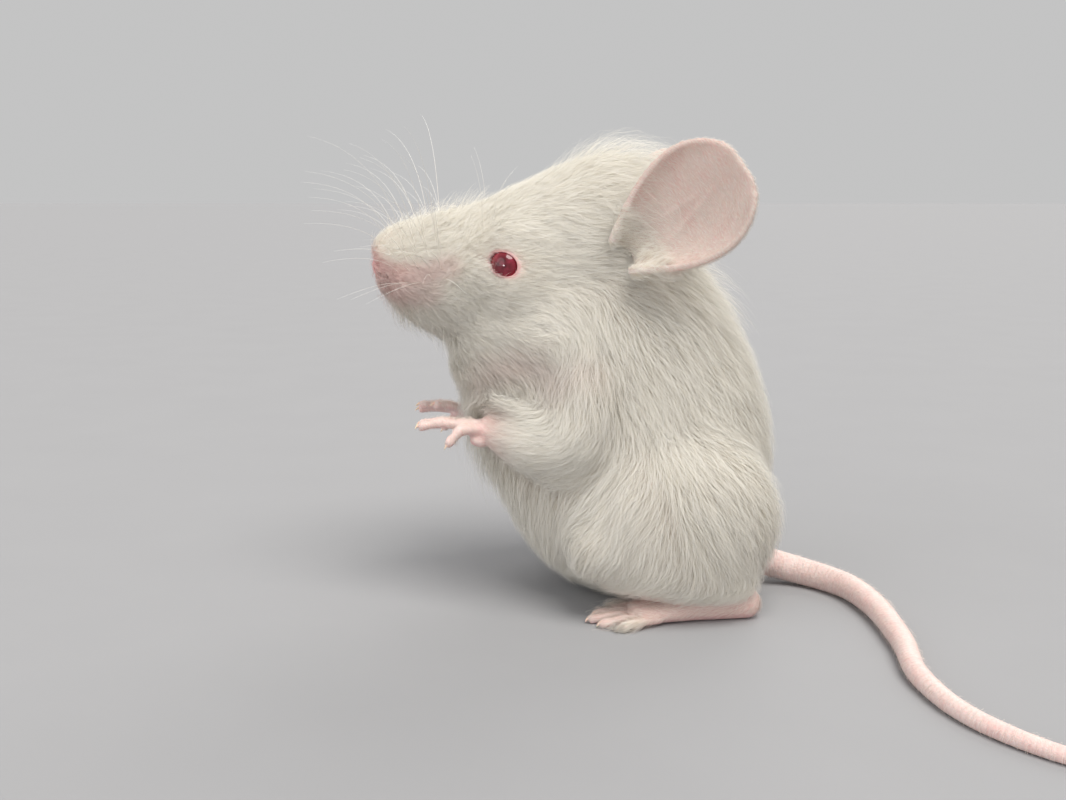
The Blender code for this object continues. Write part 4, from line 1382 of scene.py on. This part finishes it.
def guard_fields(skin, fields):
    """The loose hairs that stand out of the coat: how many, and how they differ."""
    p, masks = skin.points, skin.masks
    x, _, z = p.T
    up = skin.normals[:, 2]
    crown = ease(x, -7.0, 3.0) * ease(z, 40.0, 46.0) * ease(up, 0.0, 0.6)
    nape = ease(x, 9.0, 13.0) * ease(z, 30.0, 40.0)
    chin = ease(-x, 3.0, 8.0) * ease(-up, 0.3, 0.8) * ease(z, 26.0, 29.0)
    snout = ease(-x, 7.0, 12.0) * ease(z, 33.0, 35.0)
    front = ease(-x, -3.0, 3.0) * ease(z, 15.0, 19.0) * ease(-z, -33.0, -29.0)
    lobes = np.zeros(len(p))
    for name in SIDES:
        root, along, _, _ = ear_axes(name)
        lobes = np.maximum(lobes, bell(np.linalg.norm(p - root - along * 0.8, axis=1), 3.2))
    breast = 0.6 * fields["breast"]
    most = np.maximum.reduce([crown, 0.7 * nape, 0.8 * chin, breast, 0.35 * front, 0.5 * lobes])
    furred = 1 - np.maximum.reduce([masks[key] for key in ("ear", "paw", "foot", "tail", "nose", "rim")])
    density = (1.5 + 12.0 * most + 13.0 * snout) * furred * ease(fields["length"], 1.0, 1.5)
    loose = {
        "length": fields["length"] * (1.12 + 0.42 * most + 0.30 * snout) + 1.0 * lobes,
        "width": np.full(len(p), HAIR_WIDTH),
        "height": fields["height"],
        "stands": np.minimum(0.95, 0.30 + 0.45 * most + 0.60 * snout),
        "pull": np.full(len(p), 0.15),
    }
    return density, loose


def hairs(skin, unwrap, name, steps, density, fields, spacing, spread):
    """One layer of the coat, as the arrays that its pieces are cut from.

    spacing is how far apart its tufts stand, spread how much the hairs' ways differ.
    """
    stands = fields.get("stands")
    face, shares = skin.scatter(density)
    root, normal = skin.at(skin.points, face, shares), unit(skin.at(skin.normals, face, shares))
    count = len(root)
    value = {key: skin.at(fields[key], face, shares) for key in ("length", "width", "height", "pull")}
    length = value["length"] * rng.uniform(0.7, 1.12, count)
    height = value["height"] * rng.uniform(0.35, 1.2, count)
    if stands is not None:
        height = length * skin.at(stands, face, shares) * rng.uniform(0.5, 1.1, count)
    wave = np.sin(root[:, 0] * 0.9 + 1.7 * np.sin(root[:, 2] * 0.55)) * 0.10
    chosen = rng.random(count) < np.minimum(1.0, 1.0 / (skin.at(density, face, shares) * spacing**2))
    swing = wave + rng.normal(0, spread, count) * np.where(chosen, 1.6, 1.0)
    paths, normals = combed(skin, root, normal, length, height, swing, steps)
    paths = clumped(paths, root, root[chosen], paths[chosen], value["pull"] * rng.uniform(0.1, 1.9, count))
    shade = unit(normals + rng.normal(0, 0.10, (count, 1, 3)))
    width = value["width"] * rng.uniform(0.7, 1.2, count)
    points, faces, shade, run = ribbons(paths, shade, width, rng.normal(0, 0.45, count))
    blush = skin.at(skin.flush, face, shares)
    return name, points, faces, shade, run, unwrap.at(root), rng.random(count), blush


def coat_pieces(layer, material):
    """A layer of the coat, cut from nose to tail into pieces of fair size."""
    layer_name, points, faces, shade, run, uv, tone, blush = layer
    order = np.argsort(points[:, 0, 0] + 0.4 * points[:, 0, 2])
    parts = math.ceil(len(points) * faces.shape[1] / COAT_LIMIT)
    for i, chosen in enumerate(np.array_split(order, parts)):
        name = f"{layer_name}_{i + 1}"
        pattern = faces[0][None] + (np.arange(len(chosen)) * points.shape[1])[:, None, None]
        each = (uv[chosen], tone[chosen], blush[chosen])
        mesh = coat_mesh(name, points[chosen], pattern, shade[chosen], run, *each)
        piece(name, mesh, material)


# --- Making it all -----------------------------------------------------------------------
def build():
    mesh, claws = make_skin()
    skin = Skin(mesh)
    line, _, reached = tail_rows()
    _, share = distance_to_line(skin.points, line)
    ring = (0.5 + 0.5 * np.cos(share * reached[-1] * 2 * np.pi / TAIL_RING)) ** 3 * skin.masks["tail"]
    point_attribute(mesh, "flush", skin.flush)
    point_attribute(mesh, "ring", ring)
    point_attribute(mesh, "thin", skin.masks["ear"])
    unwrap = Unwrap(mesh)
    fields = coat_fields(skin)
    long_share = ease(fields["length"], SHORT_UP_TO, LONG_FROM)
    short_density, long_density = fields["density"] * (1 - long_share), fields["density"] * long_share
    layers = [
        hairs(skin, unwrap, "coat_short", 2, short_density, fields, spacing=0.42, spread=0.20),
        hairs(skin, unwrap, "coat_long", 3, long_density, fields, spacing=0.75, spread=0.20),
        hairs(skin, unwrap, "coat_guard", 4, *guard_fields(skin, fields), spacing=3.0, spread=0.40),
    ]
    coat = coat_material()
    for layer in layers:
        coat_pieces(layer, coat)
    tree = BVHTree.FromPolygons(skin.points.tolist(), skin.faces.tolist())
    body = piece("skin", mesh, skin_material())
    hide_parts(*FLESH)
    eye = eye_material()
    for name, side in SIDES.items():
        ball = piece(f"eyeball_{name}", make_eye(f"eyeball_{name}", side), eye)
        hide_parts(f"eye_{name}")
    piece("claws", make_claws(claws), claw_material())
    piece("whiskers", make_whiskers(tree), whisker_material())
    bpy.data.objects.remove(skin.probe, do_unlink=True)


# --- Floor, light and camera -------------------------------------------------------------
SUNS = {  # which way each soft light shines, its strength, its spread in degrees and its colour
    "key": ((-0.22, 0.36, -0.90), 2.8, 40.0, (1.0, 0.975, 0.93)),
    "fill": ((0.75, 0.55, -0.35), 0.8, 60.0, (0.99, 0.99, 1.0)),
    "window": ((0.386, 0.887, -0.058), 0.5, 10.0, (1.0, 1.0, 1.0)),
    "back": ((-0.35, -0.80, -0.60), 1.0, 40.0, (1.0, 0.98, 0.95)),
}
SKY_STRENGTH = 0.55
FLOOR_REACH = 6.0  # half the floor's side, in metres
VIEW_CENTRE, VIEW_DISTANCE, VIEW_TILT = (-3.2, 0.0, 22.8), 0.140, 10.0  # body mm, metres, degrees


def studio():
    scene = bpy.context.scene
    mesh = bpy.data.meshes.new("floor")
    corners = [(a * FLOOR_REACH, b * FLOOR_REACH, 0.0) for a, b in ((-1, -1), (1, -1), (1, 1), (-1, 1))]
    mesh.from_pydata(corners, [], [[0, 1, 2, 3]])
    floor = added("floor", mesh)
    n = Nodes("floor")
    grain = n.noise(60.0, 2.0, 0.5, n.place())
    n.set(Base_Color=n.mix(grain, rgb(153, 153, 155), rgb(156, 156, 158)), Roughness=0.9)
    n.set(Specular_IOR_Level=0.1)
    mesh.materials.append(n.material)
    world = bpy.data.worlds.new("studio")
    scene.world = world
    world.use_nodes = True
    sky = world.node_tree.nodes["Background"]
    sky.inputs["Color"].default_value = (1.0, 1.0, 1.0, 1.0)
    sky.inputs["Strength"].default_value = SKY_STRENGTH
    for name, (way, strength, spread, colour) in SUNS.items():
        light = bpy.data.lights.new(name, "SUN")
        light.energy, light.angle, light.color = strength, math.radians(spread), colour
        added(name, light).rotation_euler = Vector(way).to_track_quat("-Z", "Y").to_euler()
    camera = bpy.data.cameras.new("camera")
    camera.lens, camera.sensor_width, camera.clip_start = 39.4, 36.0, 0.002
    obj = added("camera", camera)
    tilt = math.radians(VIEW_TILT)
    back = Vector((0.0, -math.cos(tilt), math.sin(tilt)))
    obj.location = Vector((np.array(VIEW_CENTRE) + OFFSET) * MM) + back * VIEW_DISTANCE
    obj.rotation_euler = back.to_track_quat("Z", "Y").to_euler()
    scene.camera = obj
    scene.view_settings.view_transform = "Standard"


build()
studio()
